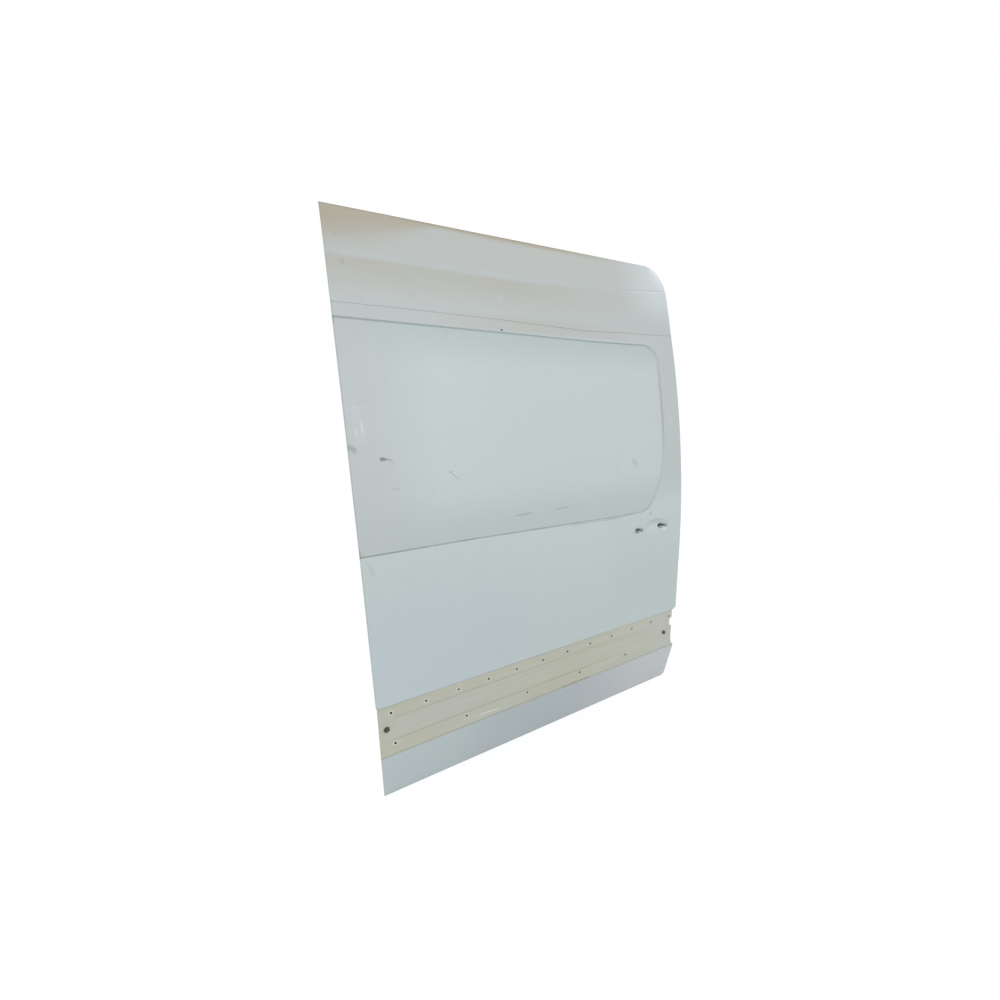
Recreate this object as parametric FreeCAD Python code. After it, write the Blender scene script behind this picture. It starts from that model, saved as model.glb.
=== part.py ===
import FreeCAD, Part
import math
import os
from functools import lru_cache

os.makedirs("parts", exist_ok=True)

V = FreeCAD.Vector

# Door outline seen from outside: x from the rear edge to the front edge, z up from the bottom edge
door_width = 1330.0
door_height = 1860.0
top_rise = 12.0
top_front_radius = 90.0
bottom_front_radius = 20.0
rear_corner_radius = 6.0

# Section of the outer face: a tucked sill, a straight wall, one large arc leaning in,
# and a crease over the roof line
sill_height = 186.0
sill_set_in = 3.0
sill_tuck = 45.0
wall_arc_foot = 673.0
wall_arc_radius = 4030.0
crease_drop = 124.0
crease_swell = 6.0

# Sheet thicknesses and the folded edge that holds the frame to the skin
skin_thickness = 1.0
frame_thickness = 1.4
glue_gap = 0.2
hem_width = 11.0
flange_clearance = 1.5

# Rub strip band, a vertical recess right across the door, with a deeper field pressed in it
# and a notch at its front end
band_height = 185.0
band_depth = 5.0
band_rear_step = 3.0
band_front_step = 16.0
band_flare_height = 36.0
notch_rise = 103.0
notch_height = 40.0
notch_depth = 13.0
notch_slope = 5.0
notch_reach = 20.0
field_depth = 2.0
field_height = 80.0
field_foot = 54.0
field_margin = 48.0
field_corner_radius = 14.0

# Blank window recess, which runs off the rear edge
window_foot = 866.0
window_front_gap = 98.0
window_recess = 5.0
window_fall = 6.0
window_top_radius = 70.0
window_low_radius = 112.0
window_lean = 58.0
window_lean_height = 236.0
window_lean_radius = 1050.0

# Roof extension, its lap joint and the strip of main skin between the joint and the window recess
extension_height = 285.0
strip_height = 37.0
lap_height = 20.0
lap_side_gap = 3.0
joggle_height = 6.0

# Handle bowl with its two keyhole openings
bowl_front_gap = 147.0
bowl_height = 778.0
bowl_half_length = 75.0
bowl_half_height = 42.0
bowl_depth = 24.0
bowl_dip_radius = 28.0
bowl_dip_depth = 6.0
keyhole_spacing = 146.0
keyhole_front_gap = 110.0
keyhole_height = 782.0
keyhole_radius = 10.0
keyhole_slot_length = 22.0
keyhole_slot_height = 9.0
dimple_front_gap = 182.0
dimple_height = 847.0
dimple_radius = 12.0
dimple_depth = 4.0

# Fixing holes of the lost rub strip, and the two clips that stayed behind
clip_hole_radius = 3.5
upper_hole_count = 12
upper_hole_start = 44.0
upper_hole_pitch = 113.7
upper_hole_drop = 31.0
lower_hole_count = 5
lower_hole_start = 49.0
lower_hole_pitch = 246.3
lower_hole_rise = 40.0
clip_radius = 11.0
clip_height = 6.0
clip_stem_radius = 5.0
clip_stem_length = 12.0
clip_fit = 0.3
rear_clip_from_edge = 26.0
rear_clip_drop = 84.0
front_clip_from_edge = 64.0
front_clip_drop = 105.0
strip_hole_radius = 3.0
strip_hole_from_edge = 519.0
strip_hole_drop = 33.0

# Inner frame
frame_inset = 18.0
frame_depth = 70.0
upright_width = 100.0
lip_depth = 24.0
lip_width = 12.0
handle_clearance = 16.0
bottom_rail_height = 112.0
belt_foot = 770.0
belt_height = 84.0
belt_lip_depth = 33.0
cantrail_height = 78.0
cantrail_over_seam = 3.0
extension_depth = 45.0
extension_upright_width = 80.0
header_height = 62.0

# Braces behind the window blank and behind the roof extension
brace_width = 46.0
brace_flange = 16.0
brace_depth = 40.0
extension_brace_depth = 24.0

# Impact beam and its end brackets
beam_radius = 17.0
beam_wall = 2.0
beam_height = 530.0
beam_depth = 42.0
bracket_thickness = 3.0
bracket_height = 86.0

# Inner closing panel with its access holes
panel_thickness = 1.2
panel_overlap = 22.0
access_columns = 3
access_width = 236.0
access_low_foot = 352.0
access_low_height = 206.0
access_top_foot = 606.0
access_top_height = 112.0
access_radius = 34.0
bead_height = 5.0
bead_width = 34.0
bead_foot = 218.0
bead_end_gap = 60.0
bead_corner_radius = 16.0

# Pads that take the roller arms and the latches
plate_thickness = 4.0
plate_clip = 6.0
lower_pad_from_front = 250.0
lower_pad_length = 160.0
lower_pad_foot = 27.0
lower_pad_height = 60.0
lower_bolt_spacing_x = 110.0
lower_bolt_spacing_z = 34.0
hinge_pad_from_edge = 26.0
hinge_pad_width = 66.0
hinge_pad_foot = 545.0
hinge_pad_height = 124.0
hinge_bolt_spacing_x = 36.0
hinge_bolt_spacing_z = 80.0
bolt_radius = 4.25
upper_pad_over_seam = 105.0
upper_pad_height = 84.0
upper_pad_from_front = 26.0
upper_pad_width = 58.0
upper_pad_rise = 5.0
upper_bolt_spacing = 50.0
latch_height = 800.0
latch_plate_height = 120.0
latch_plate_width = 44.0
latch_plate_thickness = 2.5
latch_slot_height = 58.0
latch_slot_width = 24.0
latch_bolt_spacing = 92.0
latch_bolt_radius = 3.25
seat_margin = 7.0

# Guide wedges and rubber buffers
wedge_length = 70.0
wedge_width = 34.0
wedge_height = 14.0
wedge_taper = 7.0
wedge_foot = 420.0
buffer_half_width = 13.0
buffer_tip_half_width = 9.0
buffer_height = 16.0
buffer_low = 230.0
buffer_from_wall = 33.0
buffer_under_cantrail = 80.0

# Sizes that follow from the ones above
band_top = sill_height + band_height
hem_depth = 2 * skin_thickness + 2 * glue_gap + frame_thickness
flange_outer = skin_thickness + glue_gap
flange_inner = flange_outer + frame_thickness
seam_height = door_height - extension_height
crease_height = door_height - crease_drop
window_top = seam_height - strip_height
cantrail_top = seam_height + cantrail_over_seam
cantrail_foot = cantrail_top - cantrail_height
upper_pad_foot = seam_height + upper_pad_over_seam
buffer_high = cantrail_foot - buffer_under_cantrail
front_wall = door_width - frame_inset
rear_upright_end = frame_inset + upright_width
front_upright_start = front_wall - upright_width
reach = 400.0


def arc_y(depth, z):
    """Place across the door of the leaning arc set in by depth, at height z."""
    rise = z - wall_arc_foot
    return wall_arc_radius - math.sqrt((wall_arc_radius - depth) ** 2 - rise ** 2)


def roof_y(depth, z):
    """Place across the door over the roof line: straight to the crease, then straight to the top edge."""
    crease = arc_y(depth, crease_height) - crease_swell
    if z <= crease_height:
        low, foot = seam_height, arc_y(depth, seam_height)
        return foot + (crease - foot) * (z - low) / (crease_height - low)
    edge = arc_y(depth, door_height)
    return crease + (edge - crease) * (z - crease_height) / (door_height - crease_height)


def wall_y(depth, z, tucked=True):
    """Place across the door of the outer face set in by depth, at height z."""
    if z > seam_height:
        return roof_y(depth, z)
    if z > wall_arc_foot:
        return arc_y(depth, z)
    if tucked and z < sill_height:
        return depth + sill_set_in + (sill_tuck - sill_set_in) * (1 - z / sill_height)
    if tucked and z < band_top:
        return depth + sill_set_in * (band_top - z) / band_height
    return depth


def wall_edges(x, depth, low, high, tucked):
    """Edges of the section line set in by depth, from low to high."""
    knots = [wall_arc_foot, seam_height, crease_height]
    if tucked:
        knots = [sill_height, band_top] + knots
    stops = [low] + [z for z in knots if low < z < high] + [high]
    edges = []
    for start, end in zip(stops, stops[1:]):
        a = V(x, wall_y(depth, start, tucked), start)
        b = V(x, wall_y(depth, end, tucked), end)
        if wall_arc_foot <= start < seam_height:
            middle = (start + end) / 2
            m = V(x, wall_y(depth, middle, tucked), middle)
            edges.append(Part.Arc(a, m, b).toShape())
        else:
            edges.append(Part.makeLine(a, b))
    return edges


def slab(start, end, low, high, outer, inner, tucked=True, outer_tucked=True):
    """Curved slab between two depths behind the outer face; an untucked side stays upright at the sill."""
    edges = wall_edges(start, outer, low, high, outer_tucked)
    edges += wall_edges(start, inner, low, high, tucked)
    for z in (low, high):
        a = V(start, wall_y(outer, z, outer_tucked), z)
        b = V(start, wall_y(inner, z, tucked), z)
        edges.append(Part.makeLine(a, b))
    wire = Part.Wire(Part.__sortEdges__(edges))
    return Part.Face(wire).extrude(V(end - start, 0, 0))


def outline_wire(corners, y=0.0):
    """Closed outline in the plane of the door; each corner is (x, z, radius)."""
    edges = []
    stops = []
    count = len(corners)
    for i in range(count):
        x, z, radius = corners[i]
        before = V(corners[i - 1][0] - x, 0, corners[i - 1][1] - z).normalize()
        after_corner = corners[(i + 1) % count]
        after = V(after_corner[0] - x, 0, after_corner[1] - z).normalize()
        point = V(x, y, z)
        if radius <= 0:
            stops.append((point, point))
            continue
        half = math.acos(max(-1.0, min(1.0, before.dot(after)))) / 2
        run = radius / math.tan(half)
        a = point + before * run
        b = point + after * run
        bisector = (before + after).normalize()
        m = point + bisector * (radius / math.sin(half) - radius)
        edges.append(Part.Arc(a, m, b).toShape())
        stops.append((a, b))
    for i in range(count):
        a = stops[i - 1][1]
        b = stops[i][0]
        if a.distanceToPoint(b) > 1e-6:
            edges.append(Part.makeLine(a, b))
    return Part.Wire(Part.__sortEdges__(edges))


def prism(wire, start=-reach, end=reach):
    """Upright prism through the door, from one place across it to another."""
    face = Part.Face(wire.translated(V(0, start, 0)))
    return face.extrude(V(0, end - start, 0))


def band_end(inset):
    """Corners of the front edge at the band, going up: a flare, a small notch, then the step out."""
    right = door_width - inset
    side = right - band_front_step
    low = sill_height + notch_rise
    high = low + notch_height
    corners = [(right, sill_height - inset, 0)]
    corners.append((side, sill_height + band_flare_height, 0))
    corners.append((side, low - inset, 0))
    corners.append((side - notch_depth, low - inset + notch_slope, 0))
    corners.append((side - notch_depth, high + inset - notch_slope, 0))
    corners.append((side, high + inset, 0))
    corners.append((side, band_top + inset, 0))
    corners.append((right, band_top + inset, 0))
    return corners


@lru_cache(maxsize=None)
def door_prism(inset, notched=False):
    """The door's outline moved in all round; a notched one is stepped in at the ends of the band."""
    left = inset
    right = door_width - inset
    corners = [(left, inset, max(rear_corner_radius - inset, 0))]
    corners.append((right, inset, max(bottom_front_radius - inset, 4)))
    if notched:
        corners += band_end(inset)
    corners.append((right, door_height + top_rise - inset, top_front_radius - inset))
    corners.append((left, door_height - inset, max(rear_corner_radius - inset, 0)))
    if notched:
        corners.append((left, band_top + inset, 0))
        corners.append((left + band_rear_step, band_top + inset, 0))
        corners.append((left, sill_height - inset, 0))
    return prism(outline_wire(corners))


def rectangle(x0, x1, z0, z1, radius=0.0):
    """Rectangle outline with rounded corners."""
    return outline_wire([(x0, z0, radius), (x1, z0, radius), (x1, z1, radius), (x0, z1, radius)])


def clipped_rectangle(x0, x1, z0, z1, clip):
    """Rectangle outline with its corners cut off."""
    corners = [(x0 + clip, z0, 0), (x1 - clip, z0, 0), (x1, z0 + clip, 0), (x1, z1 - clip, 0)]
    corners += [(x1 - clip, z1, 0), (x0 + clip, z1, 0), (x0, z1 - clip, 0), (x0, z0 + clip, 0)]
    return outline_wire(corners)


def window_wire(grow):
    """Outline of the blank window recess, open past the rear edge; its front side sweeps in to the foot."""
    front = door_width - window_front_gap
    foot = window_foot - window_fall
    lean = math.atan2(window_lean, window_lean_height)
    toe_x = front - window_lean + grow * math.cos(lean) / (1 + math.sin(lean))
    knee_z = foot + window_lean_height - grow * math.tan(lean / 2)
    corners = [(-reach, window_foot - grow, 0)]
    corners.append((toe_x, foot - grow, window_low_radius + grow))
    corners.append((front + grow, knee_z, window_lean_radius + grow))
    corners.append((front + grow, window_top - window_fall + grow, window_top_radius + grow))
    corners.append((-reach, window_top + grow, 0))
    return outline_wire(corners)


def round_dip(x, z, radius, depth, k):
    """Ball that presses a round dip in the outer face; k moves the pressed side in."""
    ball_radius = (radius ** 2 + depth ** 2) / (2 * depth)
    return Part.makeSphere(ball_radius + k, V(x, wall_y(depth, z) - ball_radius, z))


def long_bowl(x, z, half_length, half_height, depth, k):
    """Round-ended bar, lying outside the door, that presses a long bowl; k moves the pressed side in."""
    radius = (half_height ** 2 + depth ** 2) / (2 * depth)
    run = half_length - half_height
    y = wall_y(depth, z) - radius
    bar = cylinder(x - run, y, z, radius + k, 2 * run, V(1, 0, 0))
    rear_end = Part.makeSphere(radius + k, V(x - run, y, z))
    front_end = Part.makeSphere(radius + k, V(x + run, y, z))
    return bar.fuse([rear_end, front_end])


@lru_cache(maxsize=None)
def pockets(k):
    """What is pressed in from outside, with the sheet's outer side moved in by k."""
    low = window_foot - window_fall - 20
    high = window_top + 20
    window = slab(-20, door_width + 20, low, high, -30, window_recess + k).common(prism(window_wire(k)))
    band = Part.makeBox(door_width + 40, reach + band_depth + k, band_height + 2 * k)
    band.translate(V(-20, -reach, sill_height - k))
    field_low = sill_height + field_foot - k
    field_high = sill_height + field_foot + field_height + k
    corner = field_corner_radius + k
    field_wire = rectangle(field_margin - k, door_width - field_margin + k, field_low, field_high, corner)
    field = prism(field_wire, -reach, band_depth + field_depth + k)
    bowl_x = door_width - bowl_front_gap
    bowl = long_bowl(bowl_x, bowl_height, bowl_half_length, bowl_half_height, bowl_depth, k)
    dip_x = door_width - keyhole_front_gap - keyhole_spacing
    dip = round_dip(dip_x, keyhole_height, bowl_dip_radius, bowl_dip_depth, k)
    dimple = round_dip(door_width - dimple_front_gap, dimple_height, dimple_radius, dimple_depth, k)
    return [window, band, field, bowl, dip, dimple]


@lru_cache(maxsize=None)
def behind(k, low=-10.0, high=None):
    """Everything behind the pressed outer face when that face is moved in by k."""
    top = high or door_height + top_rise + 10
    return slab(-10, door_width + 10, low, top, k, reach).cut(pockets(k))


def cylinder(x, y, z, radius, length, along):
    """Round bar from a point along a direction."""
    return Part.makeCylinder(radius, length, V(x, y, z), along)


def keyhole(x):
    """Cutter for one keyhole opening: a round hole with a slot to the front."""
    hole = cylinder(x, -20, keyhole_height, keyhole_radius, 70, V(0, 1, 0))
    slot = Part.makeBox(keyhole_slot_length, 70, keyhole_slot_height)
    slot.translate(V(x, -20, keyhole_height - keyhole_slot_height / 2))
    return hole.fuse(slot)


def skin_holes():
    """Cutters for the keyholes, the rub strip holes and the odd hole above the window."""
    cutters = [keyhole(door_width - keyhole_front_gap)]
    cutters.append(keyhole(door_width - keyhole_front_gap - keyhole_spacing))
    for i in range(upper_hole_count):
        x = upper_hole_start + i * upper_hole_pitch
        cutters.append(cylinder(x, -20, band_top - upper_hole_drop, clip_hole_radius, 60, V(0, 1, 0)))
    for i in range(lower_hole_count):
        x = lower_hole_start + i * lower_hole_pitch
        cutters.append(cylinder(x, -20, sill_height + lower_hole_rise, clip_hole_radius, 60, V(0, 1, 0)))
    for x, z in clip_places():
        cutters.append(prism(six_sided(x, z, clip_stem_radius + clip_fit), -20, 40))
    z = seam_height - strip_hole_drop
    cutters.append(cylinder(strip_hole_from_edge, 0, z, strip_hole_radius, reach, V(0, 1, 0)))
    return cutters


def clip_places():
    """Places of the two clips left in the band."""
    rear = (rear_clip_from_edge, band_top - rear_clip_drop)
    front = (door_width - front_clip_from_edge, band_top - front_clip_drop)
    return [rear, front]


def folded_edge(low, high):
    """The sheet's edge folded back on itself inside the door."""
    ring = behind(hem_depth - skin_thickness, low, high).cut(behind(hem_depth, low, high))
    edge = door_prism(0, True).cut(door_prism(hem_width, True))
    return ring.common(edge.cut(door_prism(frame_inset - glue_gap)))


def sheet(low, high):
    """Pressed skin between two heights, turned in and folded at the door's edges."""
    outer = behind(0, low, high).common(door_prism(0, True))
    inner = behind(skin_thickness, low, high).common(door_prism(skin_thickness, True))
    shell = outer.cut(inner).cut(behind(hem_depth, low, high))
    return shell.fuse(folded_edge(low, high))


def main_outer_skin():
    """Lower skin up to the lap joint, with its top edge set in behind the roof extension."""
    skin = sheet(-5, seam_height)
    set_in = skin_thickness + glue_gap
    inside_edge = hem_width + lap_side_gap
    lap_end = door_width - inside_edge
    lap = slab(inside_edge, lap_end, seam_height, seam_height + lap_height, set_in, set_in + skin_thickness)
    joggle_low = seam_height - joggle_height
    joggle = slab(inside_edge, lap_end, joggle_low, seam_height, skin_thickness, set_in + skin_thickness)
    return skin.fuse([lap, joggle]).cut(skin_holes())


def roof_extension_skin():
    """Upper skin of the raised roof, from the lap joint to the top edge."""
    return sheet(seam_height, door_height + top_rise + 5).removeSplitter()


def edge_flange(start, end, low, high):
    """Flange of the frame caught in the skin's folded edge, as far as the frame's side walls."""
    layer = behind(flange_outer, low, high).cut(behind(flange_inner, low, high))
    ring = door_prism(flange_clearance, True).cut(door_prism(frame_inset + frame_thickness))
    window = Part.makeBox(end - start, 2 * reach, high - low, V(start, -reach, low))
    return layer.common(ring).common(window)


def channel(start, end, low, high, depth, closed_low=False, closed_high=False):
    """Pressed channel open to the skin; its side walls follow the door's edge where that is nearer."""
    t = frame_thickness
    outer = slab(start, end, low, high, flange_outer, depth, False).common(door_prism(frame_inset))
    inner_low = low + t if closed_low else low - 5
    inner_high = high - t if closed_high else high + 5
    inner = slab(start + t, end - t, inner_low, inner_high, -5, depth - t, False)
    inner = inner.common(door_prism(frame_inset + t))
    return outer.cut(inner)


def upright(start, end, low, high, depth, lip_side):
    """Upright of the frame; lip_side is +1 where its free wall faces the front, else -1."""
    t = frame_thickness
    shape = channel(start, end, low, high, depth)
    wall = end - t if lip_side > 0 else start
    short = slab(wall - 1, wall + t + 1, low - 5, high + 5, -5, lip_depth)
    lip_start = wall if lip_side > 0 else wall - lip_width
    lip = slab(lip_start, lip_start + lip_width + t, low, high, lip_depth, lip_depth + t)
    edge = edge_flange(start, end, low, high)
    return shape.cut(short).fuse([lip, edge]).cut(keep_clear(low, high)).removeSplitter()


def keep_clear(low, high):
    """Space taken by the pressed skin, which the frame stays behind."""
    return slab(-10, door_width + 10, low - 5, high + 5, -reach / 4, reach / 2).cut(behind(flange_outer))


def bolt_cut(places, y, radius, length):
    """Round cutters through the inner side of the door."""
    return [cylinder(x, y, z, radius, length, V(0, 1, 0)) for x, z in places]


def grid(x, z, spacing_x, spacing_z):
    """Four places on a rectangle about a middle."""
    places = []
    for i in (-0.5, 0.5):
        for j in (-0.5, 0.5):
            places.append((x + i * spacing_x, z + j * spacing_z))
    return places


lower_pad_x = door_width - lower_pad_from_front
lower_pad_z = lower_pad_foot + lower_pad_height / 2
hinge_pad_x = hinge_pad_from_edge + hinge_pad_width / 2
hinge_pad_z = hinge_pad_foot + hinge_pad_height / 2
upper_pad_x = door_width - upper_pad_from_front - upper_pad_width / 2
upper_pad_z = upper_pad_foot + upper_pad_height / 2
upper_pad_face = wall_y(extension_depth, upper_pad_foot + upper_pad_height) + upper_pad_rise
lower_bolts = grid(lower_pad_x, lower_pad_z, lower_bolt_spacing_x, lower_bolt_spacing_z)
hinge_bolts = grid(hinge_pad_x, hinge_pad_z, hinge_bolt_spacing_x, hinge_bolt_spacing_z)
upper_low_bolt = (upper_pad_x, upper_pad_z - upper_bolt_spacing / 2)
upper_high_bolt = (upper_pad_x, upper_pad_z + upper_bolt_spacing / 2)
upper_bolts = [upper_low_bolt, upper_high_bolt]


def seat_window(start, end, low, high):
    """Opening in the frame behind a plate, which leaves the plate a margin to sit on."""
    m = seat_margin
    return prism(rectangle(start + m, end - m, low + m, high - m), frame_depth - 20, frame_depth + 20)


def latch_window(x):
    """Opening in a side wall that leaves the latch plate a margin to sit on."""
    width = latch_plate_width - 2 * seat_margin
    height = latch_plate_height - 2 * seat_margin
    box = Part.makeBox(20, width, height)
    return box.translated(V(x - 10, (frame_depth - width) / 2, latch_height - height / 2))


def latch_cuts(x):
    """Cutters for a latch mouth and its two screws through a latch plate."""
    y = frame_depth / 2
    mouth = Part.makeBox(40, latch_slot_width, latch_slot_height)
    mouth.translate(V(x - 20, y - latch_slot_width / 2, latch_height - latch_slot_height / 2))
    cuts = [mouth]
    for side in (-0.5, 0.5):
        z = latch_height + side * latch_bolt_spacing
        cuts.append(cylinder(x - 20, y, z, latch_bolt_radius, 40, V(1, 0, 0)))
    return cuts


def rear_upright():
    """Rear upright from the bottom rail to the roof rail."""
    shape = upright(frame_inset, rear_upright_end, bottom_rail_height, cantrail_top, frame_depth, 1)
    pad_end = hinge_pad_from_edge + hinge_pad_width
    room = seat_window(hinge_pad_from_edge, pad_end, hinge_pad_foot, hinge_pad_foot + hinge_pad_height)
    return shape.cut([latch_window(frame_inset), room])


def front_upright():
    """Front upright up to the roof rail, cut away behind the handle bowl and the edge notch."""
    shape = upright(front_upright_start, front_wall, bottom_rail_height, cantrail_top, frame_depth, -1)
    low = bowl_height - bowl_half_height - handle_clearance
    room = Part.makeBox(upright_width / 2, reach, 2 * (bowl_half_height + handle_clearance))
    room.translate(V(front_upright_start - lip_width - 1, frame_depth - handle_clearance - reach, low))
    notch_foot = sill_height + notch_rise - flange_clearance
    notch_start = door_width - band_front_step - notch_depth - flange_clearance
    notch = Part.makeBox(door_width - notch_start, 2 * notch_reach, notch_height + 2 * flange_clearance)
    notch.translate(V(notch_start, -notch_reach, notch_foot))
    return shape.cut([room, notch, latch_window(front_wall)])


def bottom_rail():
    """Closed channel along the bottom edge, on which the uprights stand."""
    shape = channel(0, door_width, 0, bottom_rail_height, frame_depth, False, True)
    edge = edge_flange(0, door_width, 0, bottom_rail_height)
    start = lower_pad_x - lower_pad_length / 2
    end = lower_pad_x + lower_pad_length / 2
    room = seat_window(start, end, lower_pad_foot, lower_pad_foot + lower_pad_height)
    return shape.fuse(edge).cut(keep_clear(0, bottom_rail_height)).cut(room).removeSplitter()


def cross_beam(low, high, lip_at, depth):
    """Hat beam between the two uprights, open to the skin, with a lip along each edge."""
    t = frame_thickness
    outer = slab(rear_upright_end, front_upright_start, low, high, lip_at, depth)
    inner = slab(rear_upright_end - 5, front_upright_start + 5, low + t, high - t, lip_at - 5, depth - t)
    low_lip = slab(rear_upright_end, front_upright_start, low - lip_width, low + t, lip_at, lip_at + t)
    high_lip = slab(rear_upright_end, front_upright_start, high - t, high + lip_width, lip_at, lip_at + t)
    ends = [low_lip, high_lip]
    return outer.cut(inner).fuse(ends).removeSplitter()


def belt_beam():
    """Beam at the waist, under the blank window."""
    return cross_beam(belt_foot, belt_foot + belt_height, belt_lip_depth, frame_depth)


def cantrail_beam():
    """Beam along the old roof line, behind the lap joint."""
    return cross_beam(cantrail_foot, cantrail_top, lip_depth, frame_depth)


def extension_uprights():
    """Front and rear uprights of the roof extension."""
    low = cantrail_top
    high = door_height - frame_inset - header_height
    rear_end = frame_inset + extension_upright_width
    front_start = front_wall - extension_upright_width
    rear = upright(frame_inset, rear_end, low, high, extension_depth, 1)
    front = upright(front_start, front_wall, low, high, extension_depth, -1)
    start = upper_pad_x - upper_pad_width / 2 + seat_margin
    room = Part.makeBox(upper_pad_width - 2 * seat_margin, reach, upper_pad_height - 2 * seat_margin)
    room.translate(V(start, 0, upper_pad_foot + seat_margin))
    outside = slab(0, door_width, low, high, -5, extension_depth - 5)
    return rear, front.cut(room.cut(outside))


def roof_header():
    """Closed channel along the top edge."""
    low = door_height - frame_inset - header_height
    high = door_height + top_rise
    shape = channel(0, door_width, low, high, extension_depth, True, False)
    edge = edge_flange(0, door_width, low, high)
    return shape.fuse(edge).cut(keep_clear(low, high)).removeSplitter()


def upright_brace(number, count, low, high, outer, inner):
    """Upright hat brace glued behind the skin by two flanges, one of a count evenly spaced."""
    t = frame_thickness
    middle = rear_upright_end + number * (front_upright_start - rear_upright_end) / (count + 1)
    start = middle - brace_width / 2
    end = middle + brace_width / 2
    hat = slab(start, end, low, high, outer, inner)
    hollow = slab(start + t, end - t, low - 5, high + 5, outer - 5, inner - t)
    rear_flange = slab(start - brace_flange, start + t, low, high, outer, outer + t)
    front_flange = slab(end - t, end + brace_flange, low, high, outer, outer + t)
    return hat.cut(hollow).fuse([rear_flange, front_flange]).removeSplitter()


def impact_beam():
    """Round tube across the door at hip height."""
    start = rear_upright_end + bracket_thickness
    length = front_upright_start - bracket_thickness - start
    tube = cylinder(start, beam_depth, beam_height, beam_radius, length, V(1, 0, 0))
    return tube.cut(cylinder(start, beam_depth, beam_height, beam_radius - beam_wall, length, V(1, 0, 0)))


def beam_bracket(x):
    """Flat bracket between the beam's end and an upright."""
    low = beam_height - bracket_height / 2
    depth = frame_depth - lip_depth - 2 * frame_thickness
    plate = Part.makeBox(bracket_thickness, depth, bracket_height)
    return plate.translated(V(x, lip_depth + frame_thickness, low))


def access_middles():
    """Middles of the access hole columns along the panel."""
    clear = front_upright_start - rear_upright_end
    step = clear / access_columns
    return [rear_upright_end + (i + 0.5) * step for i in range(access_columns)]


def lower_inner_panel():
    """Closing panel on the inner side of the frame, with a swage and access holes."""
    start = rear_upright_end - panel_overlap
    end = front_upright_start + panel_overlap
    low = bottom_rail_height - panel_overlap
    high = belt_foot + panel_overlap
    t = panel_thickness
    base = slab(start, end, low, high, frame_depth, frame_depth + t, False, False)
    bead_start = start + bead_end_gap
    bead_end = end - bead_end_gap
    bead_wire = rectangle(bead_start, bead_end, bead_foot, bead_foot + bead_width, bead_corner_radius)
    rise = prism(bead_wire, frame_depth, frame_depth + t + bead_height)
    hollow_wire = rectangle(bead_start + t, bead_end - t, bead_foot + t, bead_foot + bead_width - t,
                            bead_corner_radius - t)
    hollow = prism(hollow_wire, frame_depth - 1, frame_depth + bead_height)
    cuts = [hollow]
    low_end = access_low_foot + access_low_height
    top_end = access_top_foot + access_top_height
    for x in access_middles():
        rear = x - access_width / 2
        front = x + access_width / 2
        cuts.append(prism(rectangle(rear, front, access_low_foot, low_end, access_radius)))
        cuts.append(prism(rectangle(rear, front, access_top_foot, top_end, access_radius)))
    return base.fuse(rise).cut(cuts).removeSplitter()


def lower_arm_plate():
    """Plate that takes the lower roller arm; its inner side is the door's mounting face."""
    start = lower_pad_x - lower_pad_length / 2
    end = lower_pad_x + lower_pad_length / 2
    wire = clipped_rectangle(start, end, lower_pad_foot, lower_pad_foot + lower_pad_height, plate_clip)
    plate = prism(wire, frame_depth, frame_depth + plate_thickness)
    return plate.cut(bolt_cut(lower_bolts, frame_depth - 5, bolt_radius, 40))


def centre_hinge_plate():
    """Plate that takes the middle hinge arm."""
    end = hinge_pad_from_edge + hinge_pad_width
    high = hinge_pad_foot + hinge_pad_height
    wire = clipped_rectangle(hinge_pad_from_edge, end, hinge_pad_foot, high, plate_clip)
    plate = prism(wire, frame_depth, frame_depth + plate_thickness)
    return plate.cut(bolt_cut(hinge_bolts, frame_depth - 5, bolt_radius, 40))


def upper_arm_bracket():
    """Pressed wedge that gives the upper guide arm an upright face on the leaning frame."""
    start = upper_pad_x - upper_pad_width / 2
    end = upper_pad_x + upper_pad_width / 2
    high = upper_pad_foot + upper_pad_height
    block = prism(clipped_rectangle(start, end, upper_pad_foot, high, plate_clip), 0, upper_pad_face)
    t = plate_thickness
    hollow_wire = clipped_rectangle(start + t, end - t, upper_pad_foot + t, high - t, plate_clip)
    hollow = prism(hollow_wire, 0, upper_pad_face - t)
    taken = slab(start - 5, end + 5, upper_pad_foot - 5, high + 5, -reach, extension_depth)
    bracket = block.cut(hollow).cut(taken)
    return bracket.cut(bolt_cut(upper_bolts, 0, bolt_radius, reach)).removeSplitter()


def latch_plate(x, start):
    """Reinforcing plate inside a side wall, around the latch mouth."""
    low = latch_height - latch_plate_height / 2
    plate = Part.makeBox(latch_plate_thickness, latch_plate_width, latch_plate_height)
    plate.translate(V(start, frame_depth / 2 - latch_plate_width / 2, low))
    return plate.cut(latch_cuts(x))


def guide_wedge(x, outward):
    """Plastic wedge on a side wall that meets its catch in the body; outward is +1 or -1."""
    y = frame_depth / 2
    a = V(x, y - wedge_width / 2, wedge_foot)
    b = V(x, y + wedge_width / 2, wedge_foot)
    c = V(x + outward * wedge_height, y + wedge_width / 2 - wedge_taper, wedge_foot)
    d = V(x + outward * wedge_height, y - wedge_width / 2 + wedge_taper, wedge_foot)
    face = Part.Face(Part.makePolygon([a, b, c, d, a]))
    block = face.extrude(V(0, 0, wedge_length))
    return block.makeFillet(2, [e for e in block.Edges if abs(e.BoundBox.XLength) < 0.1 and
                                abs(e.Vertexes[0].X - x) > 1])


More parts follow.
